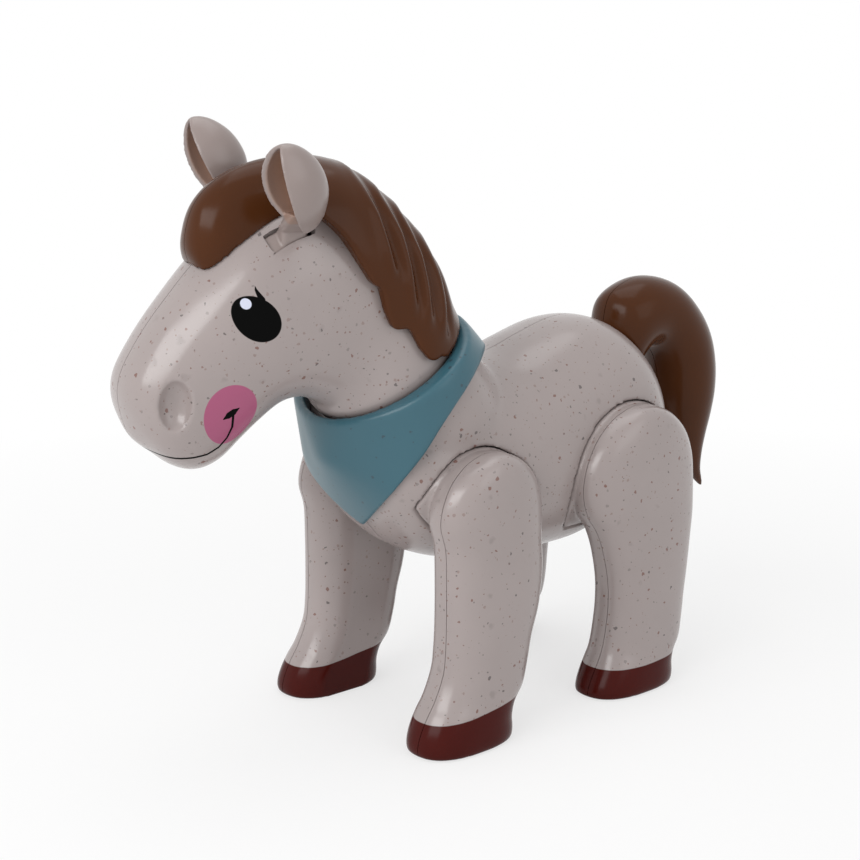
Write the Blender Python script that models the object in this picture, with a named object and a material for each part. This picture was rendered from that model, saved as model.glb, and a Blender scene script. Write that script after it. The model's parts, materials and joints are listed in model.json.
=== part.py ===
"""A click-jointed toy horse made of hollow plastic shells.

The torso, head, mane, tail and each leg are a left and a right, or an outer and an inner, moulded shell.
The head turns about its slanted neck, the legs about shafts across the torso, the ears about pins in the
head and the tail about its root. Toothed wheels and sprung tongues inside make the clicks.
The horse faces -Y, its left side is at +X, and its hooves stand on Z = 0.
"""

import math

import bmesh
import bpy
from mathutils import Matrix, Vector

MM = 0.001
ACROSS = Vector((1, 0, 0))

# Moulding practice, shared by every shell
WALL = 1.8 * MM
GAP = 0.3 * MM
RUNNING_GAP = 0.4 * MM
OVERRUN = 20.0 * MM
MERGE = 0.001 * MM
RING_POINTS = 24
CAVITY_POINTS = 16
LEG_POINTS = 20
LEG_CAVITY_POINTS = 12
ROUND_POINTS = 20
PEG_POINTS = 10

# Where the middle of the wheelbase lies from the middle of the whole length
FRAME_SHIFT_Y = 2.545 * MM

# Torso barrel: its sections run from the chest to the rump
BARREL_LENGTH = 91.5 * MM
BARREL_WIDTH = 43.0 * MM
BARREL_HEIGHT = 51.5 * MM
BELLY_Z = 30.8 * MM
CHEST_Y = -40.5 * MM
BARREL_SQUARENESS = 2.15
# along, top, bottom and half width of each section
barrel_shares = (
    (0.014, 0.641, 0.476, 0.198),
    (0.044, 0.670, 0.398, 0.314),
    (0.082, 0.700, 0.282, 0.395),
    (0.148, 0.776, 0.155, 0.460),
    (0.235, 0.845, 0.074, 0.486),
    (0.355, 0.870, 0.023, 0.493),
    (0.464, 0.885, 0.004, 0.493),
    (0.574, 0.944, 0.000, 0.498),
    (0.683, 0.994, 0.010, 0.502),
    (0.781, 0.990, 0.072, 0.493),
    (0.858, 0.928, 0.136, 0.456),
    (0.923, 0.819, 0.202, 0.377),
    (0.970, 0.689, 0.326, 0.251),
    (0.991, 0.598, 0.419, 0.130),
)

# Head: its greatest width, and its reach and rise from the middle of the neck's rim
HEAD_REACH = 55.8 * MM
HEAD_RISE = 38.0 * MM
HEAD_WIDTH = 30.0 * MM

# Neck joint: its axis leans forward through the middle of the scarf's rim
# place of the rim's middle along and up the barrel, and width of the neck there against the head
neck_shares = (0.1355, 0.901, 0.58)
NECK_Y = CHEST_Y + BARREL_LENGTH * neck_shares[0]
NECK_Z = BELLY_Z + BARREL_HEIGHT * neck_shares[1]
NECK_CLEARANCE = 2.3 * MM
NECK_TILT = math.radians(34)
HEAD_TURN = math.radians(-12)
RIM_HALF_WIDTH = HEAD_WIDTH * neck_shares[2] + NECK_CLEARANCE
RIM_HALF_DEPTH = 16.6 * MM
SCARF_THICKNESS = 1.9 * MM
STUMP_SINK = 3.0 * MM
LIP_THICKNESS = 3.6 * MM
STUMP_DEPTH = 24.0 * MM
NECK_TUBE_RADIUS = 13.2 * MM
NECK_FLANGE_RADIUS = 14.7 * MM
NECK_FLANGE_THICKNESS = 2.0 * MM
# depth, half width, front reach and rear reach of the torso's neck stump
stump_shares = (
    (0.000, 1.010, 1.020, 1.030),
    (0.330, 1.030, 1.050, 1.060),
    (0.660, 1.020, 1.030, 1.120),
    (1.000, 0.900, 0.800, 1.100),
)

# Scarf outline: a V on the chest, and a slope up each side measured from the neck's middle
SCARF_DROP = 35.0 * MM
SCARF_V_SLOPE = 0.66
SCARF_SIDE_REACH = 19.7 * MM
scarf_side_shares = (
    (-1.60, -2.55), (-0.12, -2.55), (-0.12, -1.70), (-0.36, -1.26), (-0.26, -1.02), (-0.05, -0.83),
    (0.11, -0.58), (0.32, -0.30), (0.53, -0.05), (0.77, 0.11), (1.02, 0.16), (1.43, 0.16),
    (1.43, 1.00), (-1.60, 1.00),
)

# Legs: a disc about each hip, and a shank and hoof below it
# places of the front and the rear hip along the barrel, and of both up it
hip_shares = (0.2459, 0.7377, 0.3107)
HIP_Z = BELLY_Z + BARREL_HEIGHT * hip_shares[2]
FRONT_HIP_Y = CHEST_Y + BARREL_LENGTH * hip_shares[0]
REAR_HIP_Y = CHEST_Y + BARREL_LENGTH * hip_shares[1]
FRONT_DISC_RADIUS = 13.5 * MM
REAR_DISC_RADIUS = 17.6 * MM
POCKET_DEPTH = 6.5 * MM
FLANK_X = BARREL_WIDTH / 2 - POCKET_DEPTH
LEG_THICKNESS = 13.4 * MM
LEG_SEAM_SHARE = 0.57
LEG_SQUARENESS = 2.5
DISC_CLEARANCE = 0.6 * MM
SWING_ROOM = 2.6 * MM
# height up to the hip, front and rear reach in disc radii, inner and outer face across the thickness
front_leg_shares = (
    (1.000, 1.000, 1.000, -0.03, 1.00),
    (0.893, 0.900, 1.000, -0.03, 1.00),
    (0.733, 0.885, 1.030, -0.03, 1.00),
    (0.573, 0.885, 0.955, -0.03, 1.00),
    (0.444, 0.900, 0.810, -0.03, 0.99),
    (0.338, 0.950, 0.730, -0.03, 0.99),
    (0.231, 1.120, 0.620, -0.03, 1.01),
    (0.167, 1.270, 0.430, -0.04, 1.04),
    (0.103, 1.390, 0.345, -0.05, 1.07),
    (0.049, 1.450, 0.345, -0.05, 1.09),
    (0.012, 1.440, 0.330, -0.04, 1.08),
    (0.000, 1.380, 0.270, -0.02, 1.04),
)
rear_leg_shares = (
    (1.000, 1.000, 1.000, -0.03, 1.00),
    (0.893, 0.915, 1.010, -0.03, 1.00),
    (0.808, 0.750, 1.000, -0.03, 1.00),
    (0.701, 0.620, 0.960, -0.03, 1.00),
    (0.551, 0.520, 0.905, -0.03, 1.00),
    (0.423, 0.505, 0.860, -0.03, 0.99),
    (0.295, 0.550, 0.825, -0.03, 0.99),
    (0.209, 0.610, 0.770, -0.03, 1.01),
    (0.156, 0.680, 0.660, -0.04, 1.04),
    (0.103, 0.760, 0.600, -0.05, 1.07),
    (0.049, 0.830, 0.600, -0.05, 1.09),
    (0.012, 0.845, 0.590, -0.04, 1.08),
    (0.000, 0.800, 0.550, -0.02, 1.04),
)
# angle in degrees above the hip, and the faces across the thickness, over the top of the disc
disc_top_shares = ((75, 0.05, 0.84), (58, -0.02, 0.95), (38, -0.03, 1.00), (18, -0.03, 1.00))

# Leg shafts, their toothed wheels and click springs
SHAFT_RADIUS = 4.0 * MM
SHAFT_FLANGE_RADIUS = 6.5 * MM
SHAFT_FLANGE_THICKNESS = 1.8 * MM
SHAFT_KEY = 5.0 * MM
KEY_LENGTH = 3.0 * MM
STAKED_HEAD_RADIUS = 4.2 * MM
STAKED_HEAD_THICKNESS = 1.2 * MM
CLAMP_BOSS_RADIUS = 4.9 * MM
WHEEL_THICKNESS = 2.2 * MM
WHEEL_RADIUS = 6.0 * MM
TOOTH_DEPTH = 1.0 * MM
LEG_WHEEL_TEETH = 12
STUD_RADIUS = 1.5 * MM
EYE_RADIUS = 2.9 * MM
TONGUE_THICKNESS = 1.0 * MM
SPRING_REACH = 8.5 * MM
SPRING_THICKNESS = 1.8 * MM

# Posts and pegs that line the shells up
POST_RADIUS = 3.2 * MM
PEG_RADIUS = 1.6 * MM
PEG_LENGTH = 5.0 * MM

# Head sections from the muzzle over the poll to the neck
# crest forward and up, throat forward and up, half width, squareness
head_shares = (
    (0.985, -0.180, 0.900, -0.350, 0.180, 2.25),
    (0.998, -0.100, 0.850, -0.410, 0.285, 2.25),
    (0.992, 0.010, 0.765, -0.450, 0.360, 2.25),
    (0.955, 0.130, 0.675, -0.410, 0.388, 2.25),
    (0.900, 0.275, 0.595, -0.315, 0.410, 2.25),
    (0.830, 0.425, 0.520, -0.230, 0.443, 2.25),
    (0.745, 0.585, 0.440, -0.155, 0.475, 2.25),
    (0.620, 0.770, 0.360, -0.135, 0.495, 2.25),
    (0.440, 0.915, 0.295, -0.165, 0.500, 2.25),
    (0.235, 0.900, 0.262, -0.195, 0.497, 2.25),
    (0.055, 0.730, 0.250, -0.208, 0.505, 2.20),
    (-0.095, 0.500, 0.243, -0.218, 0.530, 2.10),
    (-0.178, 0.300, 0.238, -0.226, 0.562, 2.00),
    (-0.229, 0.226, 0.233, -0.231, 0.580, 2.00),
    (-0.241, 0.162, 0.197, -0.272, 0.540, 2.00),
)

# Mane: how much thicker than the head it is at each of the head's sections, at the crest and at the sides
MANE_THICKNESS = 6.0 * MM
mane_thickness_shares = (
    (0.0, 0.0), (0.0, 0.0), (0.0, 0.0), (0.0, 0.0), (0.0, 0.0), (0.0, 0.0), (0.45, 0.05),
    (1.08, 0.20), (1.12, 0.35), (1.18, 0.38), (1.08, 0.36), (0.88, 0.33), (0.58, 0.30),
    (0.38, 0.26), (0.30, 0.25),
)
# outline of the mane seen from the side, forward and up
mane_outline_shares = (
    (0.800, 0.540), (0.720, 0.600), (0.640, 0.690), (0.545, 0.785), (0.470, 0.835), (0.375, 0.850),
    (0.290, 0.730), (0.215, 0.530), (0.160, 0.490), (0.120, 0.305), (0.055, 0.295), (-0.010, 0.140),
    (-0.060, 0.110), (-0.130, 0.120), (-0.200, 0.190), (-0.300, 0.180), (-0.500, 0.600),
    (-0.100, 1.400), (0.900, 1.400), (0.900, 0.700),
)
MANE_FOOT_INSET = 0.7 * MM
MANE_SKIPPED_COUNT = 4
MANE_STEPS = 2

# Ears: a cup on a root tab that swings about a pin
EAR_INSET = 5.4 * MM
# places of the ears' pins forward and up from the middle of the neck's rim
ear_pin_shares = (0.4642, 0.5553)
EAR_X = HEAD_WIDTH / 2 - EAR_INSET
EAR_Y = NECK_Y - HEAD_REACH * ear_pin_shares[0]
EAR_Z = NECK_Z + HEAD_RISE * ear_pin_shares[1]
EAR_DISC_RADIUS = 3.2 * MM
EAR_DISC_THICKNESS = 3.0 * MM
EAR_PIN_RADIUS = 1.3 * MM
EAR_PIN_REACH = 3.0 * MM
EAR_TAB_LENGTH = 5.0 * MM
TAB_SQUARENESS = 5.0
EAR_TAB_HEIGHT = 8.4 * MM
EAR_CUP_OUT = 6.3 * MM
EAR_CUP_FORWARD = 2.8 * MM
EAR_CUP_RISE = 10.2 * MM
EAR_CUP_LENGTH = 16.8 * MM
EAR_CUP_DEPTH = 13.0 * MM
EAR_CUP_WIDTH = 10.0 * MM
EAR_SPLAY = math.radians(19)
EAR_LEAN = math.radians(16)
EAR_SWING = math.radians(18)
EAR_SWING_BACK = math.radians(-8)
EAR_SLOT_FRONT = 6.0 * MM
# height, depth and width of the cup's sections
ear_shares = ((0.03, 0.36, 0.40), (0.14, 0.66, 0.68), (0.32, 0.94, 0.94), (0.50, 1.00, 1.00),
              (0.68, 0.90, 0.88), (0.84, 0.66, 0.62), (0.95, 0.36, 0.34))

# Tail: sections along its curve, from the root up and over to the tip
# place of the root along and up the barrel
tail_root_shares = (0.9191, 0.8078)
TAIL_ROOT_Y = CHEST_Y + BARREL_LENGTH * tail_root_shares[0]
TAIL_ROOT_Z = BELLY_Z + BARREL_HEIGHT * tail_root_shares[1]
TAIL_LEAN = math.radians(45)
TAIL_SEAT_RADIUS = 7.0 * MM
TAIL_SEAT_RISE = 0.8 * MM
TAIL_REACH = 35.0 * MM
TAIL_WIDTH = 22.0 * MM
# outer side back and up from the root, inner side back and up, half width
tail_shares = (
    (-0.117, 0.166, 0.166, -0.117, 0.318),
    (-0.057, 0.363, 0.229, -0.046, 0.373),
    (0.134, 0.460, 0.280, -0.006, 0.400),
    (0.340, 0.474, 0.326, -0.003, 0.418),
    (0.543, 0.411, 0.371, -0.034, 0.432),
    (0.726, 0.263, 0.411, -0.091, 0.432),
    (0.863, 0.080, 0.446, -0.174, 0.423),
    (0.943, -0.131, 0.474, -0.289, 0.400),
    (0.966, -0.331, 0.511, -0.431, 0.364),
    (0.951, -0.503, 0.569, -0.574, 0.309),
    (0.923, -0.660, 0.649, -0.717, 0.241),
    (0.914, -0.803, 0.740, -0.849, 0.168),
    (0.931, -0.946, 0.840, -0.980, 0.095),
)
tail_tip_shares = (0.994, -1.114)
TAIL_SOLID_COUNT = 4
SPINDLE_RADIUS = 3.0 * MM
SPINDLE_HEAD_RADIUS = 4.6 * MM
SPINDLE_HEAD_THICKNESS = 1.6 * MM
SPINDLE_REACH = 7.0 * MM
TAIL_WHEEL_RADIUS = 5.8 * MM
TAIL_WHEEL_TEETH = 10
NECK_WHEEL_RADIUS = 12.8 * MM
NECK_WHEEL_TEETH = 18

# Finishes: base colour, roughness
OAT = ("speckled_oat", (0.40, 0.35, 0.33), 0.35)
BROWN = ("mane_brown", (0.085, 0.045, 0.025), 0.3)
TEAL = ("scarf_teal", (0.09, 0.17, 0.20), 0.35)
PEARL = ("ear_pearl", (0.36, 0.28, 0.26), 0.35)
WHITE = ("inner_white", (0.75, 0.75, 0.73), 0.4)

empties = {}


def axis_frame(lean):
    """The rearward and the outward direction of an axis in the middle plane that leans forward."""
    return Vector((0, math.cos(lean), math.sin(lean))), Vector((0, -math.sin(lean), math.cos(lean)))


NECK_REAR, NECK_UP = axis_frame(NECK_TILT)
TAIL_DOWN, TAIL_OUT = axis_frame(-TAIL_LEAN)
NECK = Vector((0, NECK_Y, NECK_Z))
TAIL_ROOT = Vector((0, TAIL_ROOT_Y, TAIL_ROOT_Z))


def collection(name):
    made = bpy.data.collections.new(name)
    bpy.context.scene.collection.children.link(made)
    return made


def finish(spec):
    """The material of a finish, made once."""
    name, colour, roughness = spec
    material = bpy.data.materials.get(name) or bpy.data.materials.new(name)
    material.use_nodes = True
    shader = material.node_tree.nodes["Principled BSDF"]
    shader.inputs["Base Color"].default_value = (*colour, 1)
    shader.inputs["Roughness"].default_value = roughness
    shader.inputs["Metallic"].default_value = 0
    material.diffuse_color = (*colour, 1)
    return material


def empty(name, place, parent=None, turn=None):
    """A pivot at a place of the straight-headed horse, turned about its own place."""
    pivot = bpy.data.objects.new(f"{name}_pivot", None)
    bpy.data.collections["toy_horse"].objects.link(pivot)
    start = empties[parent][1] if parent else Vector((0, -FRAME_SHIFT_Y, 0))
    pivot.parent = empties[parent][0] if parent else None
    pivot.location = place - start
    if turn:
        pivot.rotation_mode = "QUATERNION"
        pivot.rotation_quaternion = turn
    empties[name] = (pivot, place)


def add(name, shape, group, spec=None):
    """Makes an object from a shape in the straight-headed horse's place; without a finish it is a cutter."""
    pivot, place = empties[group]
    if isinstance(shape, bmesh.types.BMesh):
        mesh = bpy.data.meshes.new(name)
        shape.to_mesh(mesh)
        shape.free()
    else:
        mesh = shape
        mesh.name = name
    mesh.transform(Matrix.Translation(-place))
    thing = bpy.data.objects.new(name, mesh)
    thing.parent = pivot
    bpy.data.collections["toy_horse" if spec else "cutters"].objects.link(thing)
    if spec:
        mesh.materials.append(finish(spec))
        mesh.shade_smooth()
        mesh.set_sharp_from_angle(angle=math.radians(35))
    else:
        thing.hide_render = True
        thing.display_type = "WIRE"
    return thing


def boolean(target, operation, *tools):
    for tool in tools:
        change = target.modifiers.new(f"{operation.lower()} {tool.name}", "BOOLEAN")
        change.operation = operation
        change.object = tool
        change.solver = "EXACT"
    return target


def cut(target, *tools):
    return boolean(target, "DIFFERENCE", *tools)


def join(target, *tools):
    return boolean(target, "UNION", *tools)


def keep(target, *tools):
    return boolean(target, "INTERSECT", *tools)


def oval(centre, side, up, half_width, top, bottom, squareness, count):
    """A closed ring of points: a squarish oval with its own reach above and below the centre."""
    ring = []
    for k in range(count):
        angle = 2 * math.pi * k / count
        c, s = math.cos(angle), math.sin(angle)
        across = math.copysign(abs(c) ** (2 / squareness), c) * half_width
        rise = math.copysign(abs(s) ** (2 / squareness), s) * (top if s > 0 else bottom)
        ring.append(centre + side * across + up * rise)
    return ring


def skin(rings, start=None, end=None):
    """A closed solid through rings of points, with a pole or a flat face at each end."""
    shape = bmesh.new()
    loops = [[shape.verts.new(point) for point in ring] for ring in rings]
    count = len(loops[0])
    for low, high in zip(loops, loops[1:]):
        for k in range(count):
            shape.faces.new((low[k], low[(k + 1) % count], high[(k + 1) % count], high[k]))
    for loop, pole in ((loops[0], start), (loops[-1], end)):
        if pole is None:
            shape.faces.new(loop)
            continue
        tip = shape.verts.new(pole)
        for k in range(count):
            shape.faces.new((loop[k], loop[(k + 1) % count], tip))
    bmesh.ops.recalc_face_normals(shape, faces=shape.faces)
    return shape


def rod(start, end, radius, count=ROUND_POINTS, into=None):
    """A round bar from one point to another."""
    shape = into or bmesh.new()
    way = end - start
    place = Matrix.Translation((start + end) / 2) @ way.to_track_quat("Z", "Y").to_matrix().to_4x4()
    bmesh.ops.create_cone(shape, cap_ends=True, segments=count, radius1=radius, radius2=radius,
                          depth=way.length, matrix=place)
    return shape


def cross_rod(y, z, x_from, x_to, radius, count=ROUND_POINTS, into=None):
    """A round bar across the horse."""
    return rod(Vector((x_from, y, z)), Vector((x_to, y, z)), radius, count, into)


def block(low, high, into=None):
    """A box between two opposite corners."""
    shape = into or bmesh.new()
    low, high = Vector(map(min, low, high)), Vector(map(max, low, high))
    place = Matrix.Translation((low + high) / 2) @ Matrix.Diagonal((*(high - low), 1))
    bmesh.ops.create_cube(shape, size=1, matrix=place)
    return shape


def plate(outlines, thickness, frame):
    """A flat piece of an even thickness: its outline, then its holes, in the frame's X and Y."""
    curve = bpy.data.curves.new("outline", "CURVE")
    curve.dimensions = "2D"
    curve.fill_mode = "BOTH"
    curve.extrude = thickness / 2
    for outline in outlines:
        spline = curve.splines.new("POLY")
        spline.points.add(len(outline) - 1)
        for point, (x, y) in zip(spline.points, outline):
            point.co = (x, y, 0, 1)
        spline.use_cyclic_u = True
    thing = bpy.data.objects.new("outline", curve)
    bpy.context.scene.collection.objects.link(thing)
    flat = bpy.data.meshes.new_from_object(thing.evaluated_get(bpy.context.evaluated_depsgraph_get()))
    bpy.data.objects.remove(thing)
    shape = bmesh.new()
    shape.from_mesh(flat)
    bpy.data.meshes.remove(flat)
    bmesh.ops.remove_doubles(shape, verts=shape.verts, dist=MERGE)
    bmesh.ops.recalc_face_normals(shape, faces=shape.faces)
    shape.transform(frame)
    return shape


def frame_of(origin, x_axis, y_axis):
    """A right-handed frame at a point."""
    matrix = Matrix((x_axis, y_axis, x_axis.cross(y_axis))).transposed().to_4x4()
    return Matrix.Translation(origin) @ matrix


def circle(x, y, radius, count):
    turns = (2 * math.pi * k / count for k in range(count))
    return [(x + radius * math.cos(turn), y + radius * math.sin(turn)) for turn in turns]


def square(size):
    half = size / 2
    return [(-half, -half), (half, -half), (half, half), (-half, half)]


def toothed(radius, teeth):
    """A wheel's outline, with a valley at 90 degrees."""
    outline = []
    for k in range(teeth):
        for share, reach in ((0.18, radius - TOOTH_DEPTH), (0.36, radius), (0.64, radius),
                             (0.82, radius - TOOTH_DEPTH)):
            turn = math.pi / 2 + 2 * math.pi * (k + share) / teeth
            outline.append((reach * math.cos(turn), reach * math.sin(turn)))
    return outline


def half_space(name, side, group, seam_x=0.0):
    """The block that holds everything on one side of a seam, less half a gap."""
    near = seam_x + side * GAP / 2
    far = side * (BARREL_WIDTH + HEAD_REACH)
    reach = BARREL_LENGTH + HEAD_REACH
    return add(name, block((near, -reach, -reach), (far, reach, reach + BARREL_LENGTH)), group)


def barrel_rings(grow, count):
    rings = []
    for along, top, bottom, half in barrel_shares:
        half_width = BARREL_WIDTH * half + grow
        high = BELLY_Z + BARREL_HEIGHT * top + grow
        low = BELLY_Z + BARREL_HEIGHT * bottom - grow
        if half_width < WALL or high - low < 2 * WALL:
            continue
        centre = Vector((0, CHEST_Y + BARREL_LENGTH * along, (high + low) / 2))
        reach = (high - low) / 2
        rings.append(oval(centre, ACROSS, Vector((0, 0, 1)), half_width, reach, reach,
                          BARREL_SQUARENESS, count))
    return rings


def barrel(grow=0.0, count=RING_POINTS):
    """The torso's barrel, grown or shrunk evenly."""
    nose = BELLY_Z + BARREL_HEIGHT * (barrel_shares[0][1] + barrel_shares[0][2]) / 2
    tail = BELLY_Z + BARREL_HEIGHT * (barrel_shares[-1][1] + barrel_shares[-1][2]) / 2
    rings = barrel_rings(grow, count)
    if grow < 0:
        return skin(rings)
    rump_y = CHEST_Y + BARREL_LENGTH
    return skin(rings, Vector((0, CHEST_Y - grow, nose)), Vector((0, rump_y + grow, tail)))


def neck_ring(depth, half_width, front, rear, squareness=2.0, count=RING_POINTS):
    return oval(NECK - NECK_UP * depth, ACROSS, NECK_REAR, half_width, rear, front, squareness, count)


def stump(grow=0.0, top=STUMP_SINK, rim=False, count=RING_POINTS):
    """The torso's neck stump, grown evenly, from a depth under the rim down into the barrel."""
    rings = []
    if rim:
        rings.append(neck_ring(0, RIM_HALF_WIDTH + SCARF_THICKNESS, RIM_HALF_DEPTH + SCARF_THICKNESS,
                               RIM_HALF_DEPTH + SCARF_THICKNESS, count=count))
    for depth, half, front, rear in stump_shares:
        rings.append(neck_ring(top + (STUMP_DEPTH - top) * depth, RIM_HALF_WIDTH * half + grow,
                               RIM_HALF_DEPTH * front + grow, RIM_HALF_DEPTH * rear + grow, count=count))
    return skin(rings)


def neck_rod(depth_from, depth_to, radius, count=ROUND_POINTS, into=None):
    return rod(NECK - NECK_UP * depth_from, NECK - NECK_UP * depth_to, radius, count, into)


def tail_rod(out_from, out_to, radius, count=ROUND_POINTS, into=None):
    return rod(TAIL_ROOT + TAIL_OUT * out_from, TAIL_ROOT + TAIL_OUT * out_to, radius, count, into)


FLANGE_DEPTH = STUMP_SINK + LIP_THICKNESS + RUNNING_GAP
WHEEL_DEPTH = FLANGE_DEPTH + NECK_FLANGE_THICKNESS + GAP
TAIL_BEARING_DEPTH = 2 * WALL
HIPS = {"front": (FRONT_HIP_Y, FRONT_DISC_RADIUS), "rear": (REAR_HIP_Y, REAR_DISC_RADIUS)}
SIDES = {"left": 1, "right": -1}
INWARD = {"front": -1, "rear": 1}

# Posts across the torso: the one behind the neck and the one under the tail also carry a click spring
NECK_POST = (NECK - NECK_REAR * (NECK_WHEEL_RADIUS + EYE_RADIUS)
             - NECK_UP * (WHEEL_DEPTH + 2.4 * EYE_RADIUS))
TAIL_POST = (TAIL_ROOT + TAIL_DOWN * (TAIL_WHEEL_RADIUS + EYE_RADIUS)
             - TAIL_OUT * (TAIL_BEARING_DEPTH + 2.8 * EYE_RADIUS))
BELLY_POST = Vector((0, (FRONT_HIP_Y + REAR_HIP_Y) / 2, BELLY_Z + 2 * POST_RADIUS))


def spring_stud(end, side):
    """The middle of a leg spring's eye, above the leg's wheel and toward the middle of the torso."""
    return Vector((side * (FLANK_X - WALL - GAP - SPRING_THICKNESS / 2),
                   HIPS[end][0] - INWARD[end] * SPRING_REACH,
                   HIP_Z + WHEEL_RADIUS + 2 * GAP + TONGUE_THICKNESS))


def torso():
    """Two half shells with a pocket for each leg, a lipped opening for the neck and a seat for the tail."""
    body = add("torso_stump", stump(), "torso")
    room = add("torso_room", barrel(-WALL, CAVITY_POINTS), "torso")
    join(room, add("stump_room", stump(-WALL, STUMP_SINK + LIP_THICKNESS, count=CAVITY_POINTS), "torso"))
    cut(room, add("tail_bearing", tail_rod(-TAIL_BEARING_DEPTH, OVERRUN, TAIL_SEAT_RADIUS), "torso"))
    for side_name, side in SIDES.items():
        for end, (hip_y, disc) in HIPS.items():
            wall = cross_rod(hip_y, HIP_Z, side * (FLANK_X - WALL), side * (FLANK_X + OVERRUN),
                             disc + DISC_CLEARANCE + WALL)
            cut(room, add(f"{end}_{side_name}_pocket_wall", wall, "torso"))
    seat = add("tail_seat", tail_rod(-TAIL_BEARING_DEPTH, TAIL_SEAT_RISE, TAIL_SEAT_RADIUS), "torso")
    opening = neck_rod(STUMP_SINK + LIP_THICKNESS + WALL, -OVERRUN, NECK_TUBE_RADIUS + RUNNING_GAP)
    opening = add("neck_opening", opening, "torso")
    tail_hole = tail_rod(-TAIL_BEARING_DEPTH - WALL, OVERRUN, SPINDLE_RADIUS + RUNNING_GAP)
    tail_hole = add("tail_hole", tail_hole, "torso")
    core = add("torso_core", barrel(-WALL / 2), "torso")
    join(core, add("stump_core", stump(-WALL / 2), "torso"))
    for side_name, side in SIDES.items():
        shell = add(f"torso_{side_name}", barrel(), "torso", OAT)
        join(shell, body, seat)
        cut(shell, room)
        for name, post, start, end in (("neck", NECK_POST, SPRING_THICKNESS / 2, FLANK_X + OVERRUN),
                                       ("tail", TAIL_POST, SPRING_THICKNESS / 2, FLANK_X - WALL / 2),
                                       ("belly", BELLY_POST, 0, FLANK_X + OVERRUN)):
            bar = cross_rod(post.y, post.z, side * (start + GAP), side * end, POST_RADIUS, PEG_POINTS)
            join(shell, keep(add(f"{name}_{side_name}_post", bar, "torso"), core))
        for end, (hip_y, disc) in HIPS.items():
            pocket = cross_rod(hip_y, HIP_Z, side * FLANK_X, side * (FLANK_X + OVERRUN),
                               disc + DISC_CLEARANCE)
            cut(shell, add(f"{end}_{side_name}_pocket", pocket, "torso"))
        swing = cross_rod(FRONT_HIP_Y + SWING_ROOM, HIP_Z - SWING_ROOM / 2, side * FLANK_X,
                          side * (FLANK_X + OVERRUN), FRONT_DISC_RADIUS + DISC_CLEARANCE)
        cut(shell, add(f"front_{side_name}_swing_room", swing, "torso"))
        keep(shell, half_space(f"torso_{side_name}_side", side, "torso"))
        cut(shell, opening, tail_hole)
        holes = bmesh.new()
        for hip_y, disc in HIPS.values():
            cross_rod(hip_y, HIP_Z, side * (FLANK_X - WALL - OVERRUN / 2), side * (FLANK_X + OVERRUN),
                      SHAFT_RADIUS + RUNNING_GAP, into=holes)
        cut(shell, add(f"{side_name}_shaft_holes", holes, "torso"))
        for end in HIPS:
            at = spring_stud(end, side)
            stud_x = FLANK_X - WALL - SPRING_THICKNESS - 2 * GAP
            stud = cross_rod(at.y, at.z, side * (FLANK_X - WALL / 2), side * stud_x, STUD_RADIUS, PEG_POINTS)
            join(shell, add(f"{end}_{side_name}_stud", stud, "torso"))
        for name, post in (("neck", NECK_POST), ("tail", TAIL_POST), ("belly", BELLY_POST)):
            if side > 0:
                peg = cross_rod(post.y, post.z, POST_RADIUS, -PEG_LENGTH, PEG_RADIUS, PEG_POINTS)
                join(shell, add(f"{name}_peg", peg, "torso"))
            else:
                socket = cross_rod(post.y, post.z, POST_RADIUS, -PEG_LENGTH - 2 * GAP, PEG_RADIUS + GAP,
                                   PEG_POINTS)
                cut(shell, add(f"{name}_socket", socket, "torso"))


def prism(outline, origin, x_axis, y_axis, reach):
    """A long bar with a drawn outline, centred on the origin's plane."""
    return plate([outline], 2 * reach, frame_of(origin, x_axis, y_axis))


def scarf():
    """The ring of the scarf with its pointed front, a shell over the stump and the chest."""
    outer = SCARF_THICKNESS + GAP
    scarf = add("scarf", barrel(outer), "torso", TEAL)
    join(scarf, add("scarf_ring", stump(outer, rim=True), "torso"))
    side = [(y * SCARF_SIDE_REACH, z * SCARF_SIDE_REACH) for y, z in scarf_side_shares]
    side = prism(side, NECK, Vector((0, 1, 0)), Vector((0, 0, 1)), BARREL_WIDTH)
    keep(scarf, add("scarf_side", side, "torso"))
    edge = BARREL_WIDTH
    top = 2 * BARREL_LENGTH
    tip_z = NECK_Z - SCARF_DROP
    edge_z = tip_z + edge * SCARF_V_SLOPE
    front = [(-edge, top), (-edge, edge_z), (0, tip_z), (edge, edge_z), (edge, top)]
    front = prism(front, Vector(), ACROSS, Vector((0, 0, 1)), BARREL_LENGTH)
    keep(scarf, add("scarf_point", front, "torso"))
    bore = skin([neck_ring(depth, RIM_HALF_WIDTH, RIM_HALF_DEPTH, RIM_HALF_DEPTH)
                 for depth in (-OVERRUN, STUMP_SINK + WALL)])
    cut(scarf, add("scarf_bore", bore, "torso"))
    cut(scarf, add("scarf_barrel", barrel(GAP), "torso"), add("scarf_stump", stump(GAP), "torso"))


def head_point(forward, up):
    return Vector((0, NECK_Y - HEAD_REACH * forward, NECK_Z + HEAD_RISE * up))


def eased(rows, steps):
    """Rows of numbers with smooth rows between them, and no overshoot past a table's ends."""
    between = []
    for k in range(len(rows) - 1):
        before, start = rows[max(k - 1, 0)], rows[k]
        stop, after = rows[k + 1], rows[min(k + 2, len(rows) - 1)]
        for step in range(steps):
            t = step / steps
            weights = ((-t + 2 * t**2 - t**3) / 2, (2 - 5 * t**2 + 3 * t**3) / 2,
                       (t + 4 * t**2 - 3 * t**3) / 2, (t**3 - t**2) / 2)
            between.append(tuple(sum(w * x for w, x in zip(weights, column))
                                 for column in zip(before, start, stop, after)))
    return between + [rows[-1]]


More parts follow.
